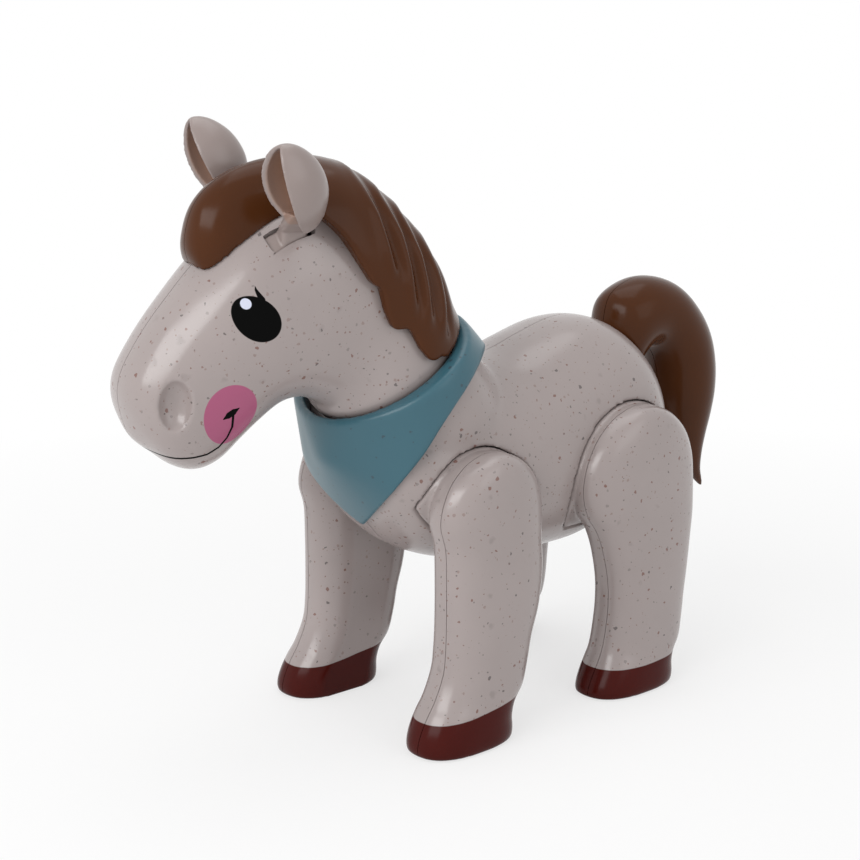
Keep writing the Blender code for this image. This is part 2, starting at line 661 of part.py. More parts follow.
def head_rings(grow, count, rows=head_shares):
    """Sections of the head, grown evenly; rows with two more shares are thickened there by the mane."""
    rings = []
    for crest_forward, crest_up, throat_forward, throat_up, half, squareness, *thickness in rows:
        crest = head_point(crest_forward, crest_up)
        throat = head_point(throat_forward, throat_up)
        up = (crest - throat).normalized()
        reach = (crest - throat).length / 2
        extras = [MANE_THICKNESS * share for share in thickness] or [grow, grow]
        crest_extra, side_extra = extras
        half_width = HEAD_WIDTH * half + side_extra
        rings.append(oval((crest + throat) / 2, ACROSS, up, half_width, reach + crest_extra,
                          reach + grow, squareness, count))
    return rings


def head_form(grow=0.0, count=RING_POINTS):
    """The head and neck as one closed form."""
    nose = (head_point(*head_shares[0][:2]) + head_point(*head_shares[0][2:4])) / 2
    way = nose - (head_point(*head_shares[1][:2]) + head_point(*head_shares[1][2:4])) / 2
    if grow < 0:
        return skin(head_rings(grow, count, head_shares[1:-1]))
    return skin(head_rings(grow, count), nose + way.normalized() * (way.length / 3 + grow))


def ear_slot():
    """The outline of an ear's slot about its pin: round below, and open upward with room in front."""
    radius = EAR_DISC_RADIUS + RUNNING_GAP
    back = radius + RUNNING_GAP
    low = [(radius * math.cos(math.pi * k / PEG_POINTS), -radius * math.sin(math.pi * k / PEG_POINTS))
           for k in range(PEG_POINTS + 1)]
    return [(back, OVERRUN), (back, 0)] + low + [(-EAR_SLOT_FRONT, radius), (-EAR_SLOT_FRONT, OVERRUN)]


def head():
    """Two half shells that end in a flanged neck tube, with a slot and a pin bearing for each ear."""
    tube = neck_rod(-STUMP_SINK, FLANGE_DEPTH + NECK_FLANGE_THICKNESS, NECK_TUBE_RADIUS)
    tube = add("neck_tube", tube, "head")
    flange = neck_rod(FLANGE_DEPTH, FLANGE_DEPTH + NECK_FLANGE_THICKNESS, NECK_FLANGE_RADIUS)
    flange = add("neck_flange", flange, "head")
    room = add("head_room", head_form(-WALL, CAVITY_POINTS), "head")
    bore = neck_rod(-STUMP_SINK, FLANGE_DEPTH + OVERRUN, NECK_TUBE_RADIUS - WALL)
    join(room, add("neck_bore", bore, "head"))
    core = add("head_core", head_form(-WALL / 2), "head")
    posts = {"muzzle": head_point(0.84, -0.12), "poll": head_point(0.33, 0.62)}
    for side_name, side in SIDES.items():
        shell = add(f"head_{side_name}", head_form(), "head", OAT)
        join(shell, tube, flange)
        cut(shell, room)
        bearing = cross_rod(EAR_Y, EAR_Z, side * EAR_X / 2, side * (EAR_X + OVERRUN),
                            EAR_DISC_RADIUS + WALL)
        join(shell, keep(add(f"ear_bearing_{side_name}", bearing, "head"), core))
        for name, post in posts.items():
            bar = cross_rod(post.y, post.z, side * GAP / 2, side * OVERRUN, POST_RADIUS, PEG_POINTS)
            join(shell, keep(add(f"{name}_{side_name}_post", bar, "head"), core))
        keep(shell, half_space(f"head_{side_name}_side", side, "head"))
        half_disc = EAR_DISC_THICKNESS / 2 + RUNNING_GAP
        at = Vector((side * EAR_X, EAR_Y, EAR_Z))
        slot = prism(ear_slot(), at, Vector((0, 1, 0)), Vector((0, 0, 1)), half_disc)
        cut(shell, add(f"ear_slot_{side_name}", slot, "head"))
        pin_reach = EAR_PIN_REACH + GAP
        pin = cross_rod(EAR_Y, EAR_Z, side * (EAR_X - pin_reach), side * (EAR_X + pin_reach),
                        EAR_PIN_RADIUS + GAP, PEG_POINTS)
        cut(shell, add(f"ear_pin_hole_{side_name}", pin, "head"))
        for name, post in posts.items():
            if side > 0:
                peg = cross_rod(post.y, post.z, POST_RADIUS, -PEG_LENGTH, PEG_RADIUS, PEG_POINTS)
                join(shell, add(f"{name}_peg", peg, "head"))
            else:
                socket = cross_rod(post.y, post.z, POST_RADIUS, -PEG_LENGTH - 2 * GAP, PEG_RADIUS + GAP,
                                   PEG_POINTS)
                cut(shell, add(f"{name}_socket", socket, "head"))


def ear_frame(side, swing=0.0):
    """Where an ear's cup stands: its base point, its sideways, forward and upward directions."""
    lean = Matrix.Rotation(EAR_LEAN, 3, "X") @ Matrix.Rotation(side * EAR_SPLAY, 3, "Y")
    turn = Matrix.Rotation(swing, 3, "X")
    cup_foot = Vector((side * EAR_CUP_OUT, -EAR_CUP_FORWARD, EAR_CUP_RISE))
    base = Vector((side * EAR_X, EAR_Y, EAR_Z)) + turn @ cup_foot
    lean = turn @ lean
    return base, lean @ ACROSS, lean @ Vector((0, -1, 0)), lean @ Vector((0, 0, 1))


def ear_cup(side, grow=0.0, swing=0.0, forward=0.0, outward=0.0, trim=0.0, count=CAVITY_POINTS):
    base, sideways, front, up = ear_frame(side, swing)
    rings = []
    shift = front * forward + sideways * side * outward
    for height, depth, width in ear_shares:
        half_width = EAR_CUP_WIDTH * width / 2 * (1 - trim) + grow
        half_depth = EAR_CUP_DEPTH * depth / 2 * (1 - trim) + grow
        rings.append(oval(base + shift + up * (EAR_CUP_LENGTH * height), sideways, front,
                          half_width, half_depth, half_depth, 2, count))
    return skin(rings, base + shift - up * grow, base + shift + up * (EAR_CUP_LENGTH + grow))


def ear_tab(side, grow=0.0, swing=0.0):
    """An ear's root, from its pin up and out to the foot of the cup."""
    base, sideways, front, up = ear_frame(side, swing)
    turn = Matrix.Rotation(swing, 3, "X")
    foot = Vector((side * EAR_X, EAR_Y, EAR_Z))
    shoulder = foot + turn @ Vector((0, 0, EAR_TAB_HEIGHT))
    top = base + up * WALL * 1.5 - front * WALL / 2
    half, length = EAR_DISC_THICKNESS / 2 + grow, EAR_TAB_LENGTH / 2 + grow
    return skin([oval(point, ACROSS, turn @ Vector((0, 1, 0)), half, length, length, TAB_SQUARENESS,
                      CAVITY_POINTS) for point in (foot, shoulder, top)])


def ears():
    """Cupped ears, each with a root tab, a disc in the head's slot and a pin through it."""
    for side_name, side in SIDES.items():
        group = f"ear_{side_name}"
        ear = add(group, ear_cup(side), group, PEARL)
        hollow = ear_cup(side, -WALL / 2, forward=0.26 * EAR_CUP_DEPTH, outward=0.06 * EAR_CUP_WIDTH,
                         trim=0.2)
        cut(ear, add(f"{group}_hollow", hollow, group))
        half = EAR_DISC_THICKNESS / 2
        disc = cross_rod(EAR_Y, EAR_Z, side * (EAR_X - half), side * (EAR_X + half), EAR_DISC_RADIUS)
        pin = cross_rod(EAR_Y, EAR_Z, side * (EAR_X - EAR_PIN_REACH), side * (EAR_X + EAR_PIN_REACH),
                        EAR_PIN_RADIUS, PEG_POINTS)
        join(ear, add(f"{group}_tab", ear_tab(side), group), add(f"{group}_disc", disc, group),
             add(f"{group}_pin", pin, group))


def mane():
    """Two halves of the mane and forelock, which follow the head a gap away from it."""
    rows = [head_row + mane_row for head_row, mane_row in zip(head_shares, mane_thickness_shares)]
    rows = eased(rows[MANE_SKIPPED_COUNT:], MANE_STEPS)
    outline = [(HEAD_REACH * forward, HEAD_RISE * up) for forward, up in mane_outline_shares]
    region = prism(outline, NECK, Vector((0, -1, 0)), Vector((0, 0, 1)), BARREL_WIDTH)
    region = add("mane_region", region, "head")
    rim_room = add("rim_room", neck_rod(OVERRUN, -2 * GAP, BARREL_WIDTH), "head")
    foot = neck_rod(2 * OVERRUN, -OVERRUN, RIM_HALF_DEPTH - MANE_FOOT_INSET)
    cut(rim_room, add("rim_room_hole", foot, "head"))
    head_clear = add("mane_head_clearance", head_form(GAP), "head")
    for side_name, side in SIDES.items():
        half = add(f"mane_{side_name}", skin(head_rings(0, RING_POINTS, rows)), "head", BROWN)
        keep(half, half_space(f"mane_{side_name}_side", side, "head"), region)
        cut(half, rim_room, head_clear)
        for k, swing in enumerate((EAR_SWING_BACK, 0, EAR_SWING / 2, EAR_SWING)):
            cut(half, add(f"ear_room_{side_name}_{k}", ear_cup(side, 2 * RUNNING_GAP, swing), "head"),
                add(f"tab_room_{side_name}_{k}", ear_tab(side, 2 * RUNNING_GAP, swing), "head"))


def neck_hub():
    """The toothed wheel and plug that close the neck tube."""
    frame = frame_of(NECK - NECK_UP * (WHEEL_DEPTH + WHEEL_THICKNESS / 2), ACROSS, NECK_REAR)
    wheel = plate([toothed(NECK_WHEEL_RADIUS, NECK_WHEEL_TEETH)], WHEEL_THICKNESS, frame)
    hub = add("neck_click_wheel", wheel, "head", WHITE)
    plug = neck_rod(WHEEL_DEPTH + WHEEL_THICKNESS / 2, STUMP_SINK, NECK_TUBE_RADIUS - WALL - GAP)
    join(hub, add("neck_plug", plug, "head"))


def click_spring(name, stud, along, away, reach, drop, pin_radius, thickness):
    """A sprung tongue held by its eye on a stud or peg, with its nose over a wheel's teeth."""
    low, high = drop, drop + TONGUE_THICKNESS
    nose = TONGUE_THICKNESS
    start = math.asin(high / EYE_RADIUS)
    stop = 2 * math.pi + math.asin(low / EYE_RADIUS)
    count = ROUND_POINTS - 4
    outline = [(EYE_RADIUS * math.cos(start + (stop - start) * k / count),
                EYE_RADIUS * math.sin(start + (stop - start) * k / count)) for k in range(count + 1)]
    outline += [(reach - nose, low), (reach, low - nose), (reach + nose, low), (reach + nose, high)]
    hole = circle(0, 0, pin_radius + GAP, PEG_POINTS)
    return add(name, plate([outline, hole], thickness, frame_of(stud, along, away)), "torso", WHITE)


def leg_rings(end, side, grow, count):
    hip_y, disc = HIPS[end]
    inner_x = FLANK_X + RUNNING_GAP
    rings = []
    rows = [(HIP_Z + disc * math.sin(math.radians(angle)), disc * math.cos(math.radians(angle)),
             disc * math.cos(math.radians(angle)), near, far) for angle, near, far in disc_top_shares]
    table = front_leg_shares if end == "front" else rear_leg_shares
    rows += [(HIP_Z * height, disc * front, disc * rear, near, far)
             for height, front, rear, near, far in table]
    for z, front, rear, near, far in rows:
        near_x, far_x = inner_x + LEG_THICKNESS * near - grow, inner_x + LEG_THICKNESS * far + grow
        front_y, rear_y = hip_y - front - grow, hip_y + rear + grow
        if grow < 0 and (z < -grow or rear_y - front_y < 4 * WALL):
            continue
        centre = Vector((side * (near_x + far_x) / 2, (front_y + rear_y) / 2, z))
        half_length = (rear_y - front_y) / 2
        rings.append(oval(centre, Vector((0, 1, 0)), ACROSS * side, half_length, (far_x - near_x) / 2,
                          (far_x - near_x) / 2, LEG_SQUARENESS, count))
    return rings


def leg_form(end, side, grow=0.0, count=LEG_POINTS):
    hip_y, disc = HIPS[end]
    if grow < 0:
        return skin(leg_rings(end, side, grow, count))
    top = Vector((side * (FLANK_X + RUNNING_GAP + LEG_THICKNESS / 2), hip_y, HIP_Z + disc + grow))
    return skin(leg_rings(end, side, grow, count), top)


def leg(end, side_name):
    """A leg: an outer and an inner shell, the shaft they clamp, and the toothed wheel on the shaft."""
    side = SIDES[side_name]
    hip_y, disc = HIPS[end]
    group = f"leg_{end}_{side_name}"
    inner_x = FLANK_X + RUNNING_GAP
    seam_x = inner_x + LEG_THICKNESS * LEG_SEAM_SHARE
    room = add(f"{group}_room", leg_form(end, side, -WALL, LEG_CAVITY_POINTS), group)
    reach = HIP_Z + OVERRUN
    far_corner = (side * (inner_x + OVERRUN), hip_y + reach, 2 * reach)
    past_face = block((side * (inner_x + WALL), hip_y - reach, -reach), far_corner)
    keep(room, add(f"{group}_room_face", past_face, group))
    face = add(f"{group}_face", block((side * inner_x, hip_y - reach, -reach), far_corner), group)
    flange_x = inner_x + WALL + GAP
    key_x = flange_x + SHAFT_FLANGE_THICKNESS
    outer = add(f"{group}_outer", leg_form(end, side), group, OAT)
    cut(outer, room)
    boss = cross_rod(hip_y, HIP_Z, side * (key_x + GAP), side * (inner_x + LEG_THICKNESS - WALL / 2),
                     CLAMP_BOSS_RADIUS)
    keep(outer, half_space(f"{group}_outer_side", side, group, side * seam_x))
    join(outer, add(f"{group}_boss", boss, group))
    half_key = SHAFT_KEY / 2 + GAP
    socket = block((side * (key_x - GAP), hip_y - half_key, HIP_Z - half_key),
                   (side * (key_x + KEY_LENGTH + GAP), hip_y + half_key, HIP_Z + half_key))
    cut(outer, add(f"{group}_socket", socket, group))
    inner = add(f"{group}_inner", leg_form(end, side), group, OAT)
    keep(inner, face)
    cut(inner, room)
    keep(inner, half_space(f"{group}_inner_side", -side, group, side * seam_x))
    hole = cross_rod(hip_y, HIP_Z, side * (inner_x - WALL), side * (flange_x + GAP), SHAFT_RADIUS + GAP)
    cut(inner, add(f"{group}_hole", hole, group))
    wheel_x = FLANK_X - WALL - RUNNING_GAP
    stake_x = wheel_x - WHEEL_THICKNESS - GAP
    shaft = cross_rod(hip_y, HIP_Z, side * wheel_x, side * (flange_x + SHAFT_FLANGE_THICKNESS / 2),
                      SHAFT_RADIUS)
    shaft = add(f"{group}_shaft", shaft, group, WHITE)
    half = SHAFT_KEY / 2
    flange = cross_rod(hip_y, HIP_Z, side * flange_x, side * key_x, SHAFT_FLANGE_RADIUS)
    key = block((side * (key_x - GAP), hip_y - half, HIP_Z - half),
                (side * (key_x + KEY_LENGTH), hip_y + half, HIP_Z + half))
    stub = block((side * (stake_x - GAP), hip_y - half, HIP_Z - half),
                 (side * (wheel_x + GAP), hip_y + half, HIP_Z + half))
    stake = cross_rod(hip_y, HIP_Z, side * stake_x, side * (stake_x - STAKED_HEAD_THICKNESS),
                      STAKED_HEAD_RADIUS)
    for name, shape in (("flange", flange), ("key", key), ("stub", stub), ("stake", stake)):
        join(shaft, add(f"{group}_{name}", shape, group))
    frame = frame_of(Vector((side * (wheel_x - WHEEL_THICKNESS / 2), hip_y, HIP_Z)), Vector((0, 1, 0)),
                     Vector((0, 0, 1)))
    wheel = plate([toothed(WHEEL_RADIUS, LEG_WHEEL_TEETH), square(SHAFT_KEY + 2 * GAP)],
                  WHEEL_THICKNESS - 2 * GAP, frame)
    add(f"{group}_click_wheel", wheel, group, WHITE)
    click_spring(f"{group}_click_spring", spring_stud(end, side), Vector((0, INWARD[end], 0)),
                 Vector((0, 0, 1)), SPRING_REACH, -TONGUE_THICKNESS / 2, STUD_RADIUS, SPRING_THICKNESS)


def tail_point(back, up):
    return TAIL_ROOT + Vector((0, TAIL_REACH * back, TAIL_REACH * up))


def tail_form(grow=0.0, count=RING_POINTS, first=0):
    """The tail's curl, grown or shrunk evenly, from its flat root to its tip."""
    rings = []
    for outer_back, outer_up, inner_back, inner_up, half in tail_shares[first:]:
        outer, inner = tail_point(outer_back, outer_up), tail_point(inner_back, inner_up)
        reach = (outer - inner).length / 2 + grow
        if grow < 0 and reach < 2 * WALL:
            continue
        rings.append(oval((outer + inner) / 2, ACROSS, (outer - inner).normalized(),
                          TAIL_WIDTH * half + grow, reach, reach, 2, count))
    return skin(rings, None, None if grow < 0 else tail_point(*tail_tip_shares))


def tail():
    """Two half shells around the head of a spindle that turns in the rump."""
    room = add("tail_room", tail_form(-WALL, CAVITY_POINTS, TAIL_SOLID_COUNT), "tail")
    head_at = SPINDLE_REACH - SPINDLE_HEAD_THICKNESS
    socket = tail_rod(0, SPINDLE_REACH, SPINDLE_RADIUS + GAP)
    head_room = tail_rod(head_at - GAP, SPINDLE_REACH + GAP, SPINDLE_HEAD_RADIUS + GAP)
    tools = add("spindle_room", socket, "tail"), add("spindle_head_room", head_room, "tail")
    for side_name, side in SIDES.items():
        shell = add(f"tail_{side_name}", tail_form(), "tail", BROWN)
        cut(shell, room, *tools)
        keep(shell, half_space(f"tail_{side_name}_side", side, "tail"))
    wheel_at = -TAIL_BEARING_DEPTH - GAP - WHEEL_THICKNESS / 2
    frame = frame_of(TAIL_ROOT + TAIL_OUT * wheel_at, ACROSS, TAIL_DOWN)
    wheel = plate([toothed(TAIL_WHEEL_RADIUS, TAIL_WHEEL_TEETH)], WHEEL_THICKNESS, frame)
    spindle = add("tail_spindle", wheel, "tail", WHITE)
    join(spindle, add("tail_shaft", tail_rod(wheel_at, head_at + GAP, SPINDLE_RADIUS), "tail"),
         add("tail_shaft_head", tail_rod(head_at, SPINDLE_REACH, SPINDLE_HEAD_RADIUS), "tail"))


def middle_springs():
    """The click springs of the neck and the tail, each on the peg of a post."""
    clear = TONGUE_THICKNESS + GAP
    offset = NECK_POST - (NECK - NECK_UP * (WHEEL_DEPTH + WHEEL_THICKNESS / 2))
    click_spring("neck_click_spring", NECK_POST, NECK_UP, -NECK_REAR, -offset.dot(NECK_UP),
                 NECK_WHEEL_RADIUS + clear + offset.dot(NECK_REAR), PEG_RADIUS, SPRING_THICKNESS - GAP)
    offset = TAIL_POST - (TAIL_ROOT - TAIL_OUT * (TAIL_BEARING_DEPTH + GAP + WHEEL_THICKNESS / 2))
    click_spring("tail_click_spring", TAIL_POST, TAIL_OUT, TAIL_DOWN, -offset.dot(TAIL_OUT),
                 TAIL_WHEEL_RADIUS + clear - offset.dot(TAIL_DOWN), PEG_RADIUS, SPRING_THICKNESS - GAP)


def main():
    for thing in list(bpy.data.objects):
        bpy.data.objects.remove(thing, do_unlink=True)
    collection("toy_horse")
    collection("cutters")
    empty("torso", Vector())
    empty("head", NECK, "torso", Matrix.Rotation(HEAD_TURN, 3, NECK_UP).to_quaternion())
    empty("tail", TAIL_ROOT, "torso")
    for side_name, side in SIDES.items():
        empty(f"ear_{side_name}", Vector((side * EAR_X, EAR_Y, EAR_Z)), "head")
        for end, (hip_y, disc) in HIPS.items():
            empty(f"leg_{end}_{side_name}", Vector((side * FLANK_X, hip_y, HIP_Z)), "torso")
    torso()
    scarf()
    head()
    ears()
    mane()
    neck_hub()
    for end in HIPS:
        for side_name in SIDES:
            leg(end, side_name)
    tail()
    middle_springs()


main()
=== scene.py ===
"""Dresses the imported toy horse: fine moulded shells, printed face, speckled plastic and a plain studio."""

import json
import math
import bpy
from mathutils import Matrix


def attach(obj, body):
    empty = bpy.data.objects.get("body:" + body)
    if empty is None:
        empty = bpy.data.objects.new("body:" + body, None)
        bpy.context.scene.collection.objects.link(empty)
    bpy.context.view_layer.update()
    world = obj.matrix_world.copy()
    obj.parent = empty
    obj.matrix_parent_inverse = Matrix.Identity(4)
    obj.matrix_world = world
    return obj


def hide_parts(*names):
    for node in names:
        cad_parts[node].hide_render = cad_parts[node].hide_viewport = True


bl_info = {
    "name": "Toy Horse Dresser",
    "version": (1, 0, 0),
    "blender": (4, 5, 0),
    "location": "3D View > Sidebar > Toy Horse",
    "description": "Fine shells, printed face and speckled plastic for a click-jointed toy horse",
    "category": "Object",
}

import bmesh
import bpy
from bpy.props import FloatProperty, FloatVectorProperty, PointerProperty
from mathutils import Matrix, Vector
from mathutils.bvhtree import BVHTree

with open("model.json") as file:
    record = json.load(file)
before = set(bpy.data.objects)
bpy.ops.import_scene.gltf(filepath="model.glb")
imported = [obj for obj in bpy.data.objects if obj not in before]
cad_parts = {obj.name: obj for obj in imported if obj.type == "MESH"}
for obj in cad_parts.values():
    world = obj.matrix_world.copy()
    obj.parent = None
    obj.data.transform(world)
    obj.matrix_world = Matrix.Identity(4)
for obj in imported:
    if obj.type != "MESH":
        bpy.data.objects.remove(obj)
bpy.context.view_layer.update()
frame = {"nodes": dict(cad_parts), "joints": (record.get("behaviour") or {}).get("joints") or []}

MM = 0.001
ACROSS = Vector((1, 0, 0))
UPWARD = Vector((0, 0, 1))
SIDES = {"left": 1, "right": -1}
joint_places = {joint["name"]: Vector(joint["pos_m"]) for joint in frame["joints"]}
joint_axes = {joint["name"]: Vector(joint["axis"]) for joint in frame["joints"]}

# The neck's rim is the place that the head, the scarf and the barrel are measured from
NECK = joint_places["head_turn"]
NECK_UP = joint_axes["head_turn"]
NECK_REAR = Vector((0, NECK_UP.z, -NECK_UP.y))
HEAD_TURN = math.radians(-12)
HIPS = {end: joint_places[f"leg_{end}_left_swing"] for end in ("front", "rear")}
TAIL_ROOT = joint_places["tail_turn"]
TAIL_OUT = joint_axes["tail_turn"]
FLANK_X = HIPS["front"].x

# Torso barrel, from the chest to the rump
BARREL_LENGTH = 91.5 * MM
BARREL_WIDTH = 43.0 * MM
BARREL_HEIGHT = 51.5 * MM
BARREL_SQUARENESS = 2.15
neck_inset_shares = (0.1355, 0.901)
CHEST_Y = NECK.y - BARREL_LENGTH * neck_inset_shares[0]
BELLY_Z = NECK.z - BARREL_HEIGHT * neck_inset_shares[1]
# along, top, bottom and half width of each section
barrel_shares = (
    (0.014, 0.641, 0.476, 0.198),
    (0.044, 0.670, 0.398, 0.314),
    (0.082, 0.700, 0.282, 0.395),
    (0.148, 0.776, 0.155, 0.460),
    (0.235, 0.845, 0.074, 0.486),
    (0.355, 0.870, 0.023, 0.493),
    (0.464, 0.885, 0.004, 0.493),
    (0.574, 0.944, 0.000, 0.498),
    (0.683, 0.994, 0.010, 0.502),
    (0.781, 0.990, 0.072, 0.493),
    (0.858, 0.928, 0.136, 0.456),
    (0.923, 0.819, 0.202, 0.377),
    (0.970, 0.689, 0.326, 0.251),
    (0.991, 0.598, 0.419, 0.130),
)

# Neck rim, scarf and the opening under them
RIM_HALF_WIDTH = 19.7 * MM
RIM_HALF_DEPTH = 16.6 * MM
SCARF_THICKNESS = 1.9 * MM
STUMP_SINK = 3.0 * MM
STUMP_DEPTH = 24.0 * MM
# where the stump melts into the barrel: below the neck's middle, and up to so far behind it
shoulder_depths = (24.0 * MM, 14.0 * MM)
shoulder_rears = (27.0 * MM, 36.0 * MM)
NECK_TUBE_RADIUS = 13.2 * MM
NECK_FLANGE_RADIUS = 14.7 * MM
NECK_FLANGE_DEPTH = 9.0 * MM
# depth, half width, front reach and rear reach of the torso's neck stump
stump_shares = (
    (0.000, 1.010, 1.020, 1.030),
    (0.330, 1.030, 1.050, 1.060),
    (0.660, 1.020, 1.030, 1.120),
    (1.000, 0.900, 0.800, 1.100),
)
# the knot behind: place across, out and down from the rim's back, half axes, and lean in degrees
knot_lobes = (
    ((0.0, 1.4, 3.6), ((4.2, 0, 0), (0, 1.9, 0), (0, 0, 2.9)), 34),
    ((2.6, 0.9, 7.0), ((2.6, 0, 0.8), (0, 1.3, 0), (-0.7, 0, 3.6)), 34),
    ((-2.6, 0.9, 7.0), ((2.6, 0, -0.8), (0, 1.3, 0), (0.7, 0, 3.6)), 34),
)
# share of the barrel's length over which the scarf's drape is drawn
SCARF_BACK_SHARE = 0.4
# the fine scarf's rim, closed round the neck
NECK_LIP_HALF_WIDTH = 17.7 * MM
NECK_LIP_HALF_DEPTH = 17.4 * MM
SCARF_SIDE_REACH = 19.7 * MM
# outline of the scarf seen from the side, back and up from the neck
scarf_side_shares = (
    (-1.60, -2.55), (0.30, -2.55), (0.30, -0.60), (0.50, -0.08), (0.77, 0.11), (1.02, 0.16), (1.43, 0.16),
    (1.43, 1.00), (-1.60, 1.00),
)
# the scarf's edge from its point to the rim, in millimetres on a plane that faces the shoulder
SCARF_EDGE_ACROSS = Vector((0.6593, 0.7519, 0.0))
SCARF_EDGE_UP = Vector((-0.1525, 0.1337, 0.9792))
scarf_edge = ((-8.3, -38.4), (-3.5, -34.3), (1.06, -29.2), (5.6, -23.9), (9.6, -18.8), (12.6, -14.0),
              (15.6, -9.4), (18.3, -5.2), (20.6, -0.8), (22.6, 4.2))

# Legs: a disc about each hip, and a shank and hoof below it
disc_radii = {"front": 13.5 * MM, "rear": 17.6 * MM}
LEG_THICKNESS = 13.4 * MM
LEG_SEAM_SHARE = 0.57
LEG_SQUARENESS = 2.5
DISC_CLEARANCE = 0.6 * MM
HUB_GAP = 0.25 * MM
SWING_ROOM = 2.6 * MM
SHAFT_ROOM_RADIUS = 4.3 * MM
LEG_INNER_X = FLANK_X + 0.4 * MM
# height up to the hip, front reach and rear reach in disc radii, inner and outer face
leg_shares = {
    "front": (
        (0.893, 0.900, 1.000, -0.03, 1.00),
        (0.733, 0.885, 1.030, -0.03, 1.00),
        (0.573, 0.885, 0.955, -0.03, 1.00),
        (0.444, 0.900, 0.810, -0.03, 0.99),
        (0.338, 0.950, 0.730, -0.03, 0.99),
        (0.231, 1.120, 0.620, -0.03, 1.01),
        (0.167, 1.270, 0.430, -0.04, 1.04),
        (0.103, 1.390, 0.345, -0.05, 1.07),
        (0.049, 1.450, 0.345, -0.05, 1.09),
        (0.012, 1.440, 0.330, -0.04, 1.08),
        (0.000, 1.380, 0.270, -0.02, 1.04),
    ),
    "rear": (
        (0.893, 0.915, 1.010, -0.03, 1.00),
        (0.808, 0.750, 1.000, -0.03, 1.00),
        (0.701, 0.620, 0.960, -0.03, 1.00),
        (0.551, 0.520, 0.905, -0.03, 1.00),
        (0.423, 0.505, 0.860, -0.03, 0.99),
        (0.295, 0.550, 0.825, -0.03, 0.99),
        (0.209, 0.610, 0.770, -0.03, 1.01),
        (0.156, 0.680, 0.660, -0.04, 1.04),
        (0.103, 0.760, 0.600, -0.05, 1.07),
        (0.049, 0.830, 0.600, -0.05, 1.09),
        (0.012, 0.845, 0.590, -0.04, 1.08),
        (0.000, 0.800, 0.550, -0.02, 1.04),
    ),
}
# degrees above the hip and the two faces, over the top of the disc
disc_top_shares = ((85, 0.20, 0.66), (75, 0.05, 0.84), (58, -0.02, 0.95), (38, -0.03, 1.00),
                   (18, -0.03, 1.00), (0, -0.03, 1.00))

# Head: sections from the muzzle over the poll to the neck
HEAD_REACH = 55.8 * MM
HEAD_RISE = 38.0 * MM
HEAD_WIDTH = 30.0 * MM
# crest forward and up, throat forward and up, half width, squareness
head_shares = (
    (0.985, -0.180, 0.900, -0.350, 0.180, 2.25),
    (0.998, -0.100, 0.850, -0.410, 0.285, 2.25),
    (0.992, 0.010, 0.765, -0.450, 0.360, 2.25),
    (0.955, 0.130, 0.675, -0.410, 0.388, 2.25),
    (0.900, 0.275, 0.595, -0.315, 0.410, 2.25),
    (0.830, 0.425, 0.520, -0.230, 0.443, 2.25),
    (0.745, 0.585, 0.440, -0.155, 0.475, 2.25),
    (0.620, 0.770, 0.360, -0.135, 0.495, 2.25),
    (0.440, 0.915, 0.295, -0.165, 0.500, 2.25),
    (0.235, 0.900, 0.262, -0.195, 0.497, 2.25),
    (0.055, 0.730, 0.250, -0.208, 0.505, 2.20),
    (-0.095, 0.500, 0.243, -0.218, 0.530, 2.10),
    (-0.178, 0.300, 0.238, -0.226, 0.562, 2.00),
    (-0.229, 0.226, 0.233, -0.231, 0.580, 2.00),
    (-0.241, 0.162, 0.197, -0.272, 0.540, 2.00),
)
nose_tip_shares = (0.964, -0.292)
# how far the fine head swells at its first sections, in millimetres, before it is smoothed
muzzle_fullness = (1.1, 1.1, 1.1, 1.0, 0.7, 0.3)
# shares of the head's reach between which that smoothing sets in
muzzle_ramp = (0.6, 0.86)
# how much deeper and wider the head's last sections are, in millimetres, for the neck to turn in the scarf
neck_fullness = ((0.3, 0.1), (0.8, 0.0), (0.9, -0.3), (1.2, 0.2))
nostril_shares = (0.932, -0.030)
NOSTRIL_HALF_LENGTH = 5.4 * MM
NOSTRIL_HALF_WIDTH = 3.4 * MM
# how far the bowl's middle stands out of the muzzle, and where the search for the muzzle starts
NOSTRIL_PROUD = 1.1 * MM
NOSTRIL_SEARCH_X = 20.0 * MM

# Mane: thicker than the head at each of the head's sections from the brow on, at the crest and the sides
MANE_THICKNESS = 6.0 * MM
MANE_FIRST_SECTION = 4
mane_thickness_shares = (
    (0.3, 0.0), (0.6, 0.05), (0.85, 0.15), (1.08, 0.28), (1.12, 0.35), (1.18, 0.38), (1.08, 0.36),
    (0.88, 0.33), (0.58, 0.30), (0.38, 0.26), (0.30, 0.25),
)
# outline of the mane seen from the side, forward and up
mane_outline_shares = (
    (0.400, 0.845), (0.384, 0.853), (0.344, 0.802), (0.308, 0.745), (0.261, 0.638), (0.218, 0.543),
    (0.198, 0.515), (0.178, 0.510), (0.156, 0.389), (0.128, 0.303), (0.108, 0.284), (0.064, 0.290),
    (0.050, 0.270), (0.012, 0.175), (-0.024, 0.117), (-0.048, 0.112), (-0.073, 0.134), (-0.118, 0.112),
    (-0.156, 0.145), (-0.180, 0.140), (-0.300, 0.180), (-0.500, 0.600), (-0.100, 1.400), (0.440, 1.400),
)
# the forelock's sections: crest forward and up, root forward and up, half width in millimetres
forelock_shares = (
    (0.200, 1.020, 0.200, 0.500, 9.5),
    (0.320, 1.090, 0.270, 0.500, 8.6),
    (0.450, 1.105, 0.340, 0.500, 7.8),
    (0.580, 1.062, 0.420, 0.500, 7.6),
    (0.685, 0.980, 0.500, 0.470, 7.5),
    (0.750, 0.870, 0.580, 0.430, 7.2),
    (0.776, 0.740, 0.640, 0.410, 6.4),
    (0.776, 0.640, 0.690, 0.430, 4.9),
)
forelock_tip_shares = (0.742, 0.540)
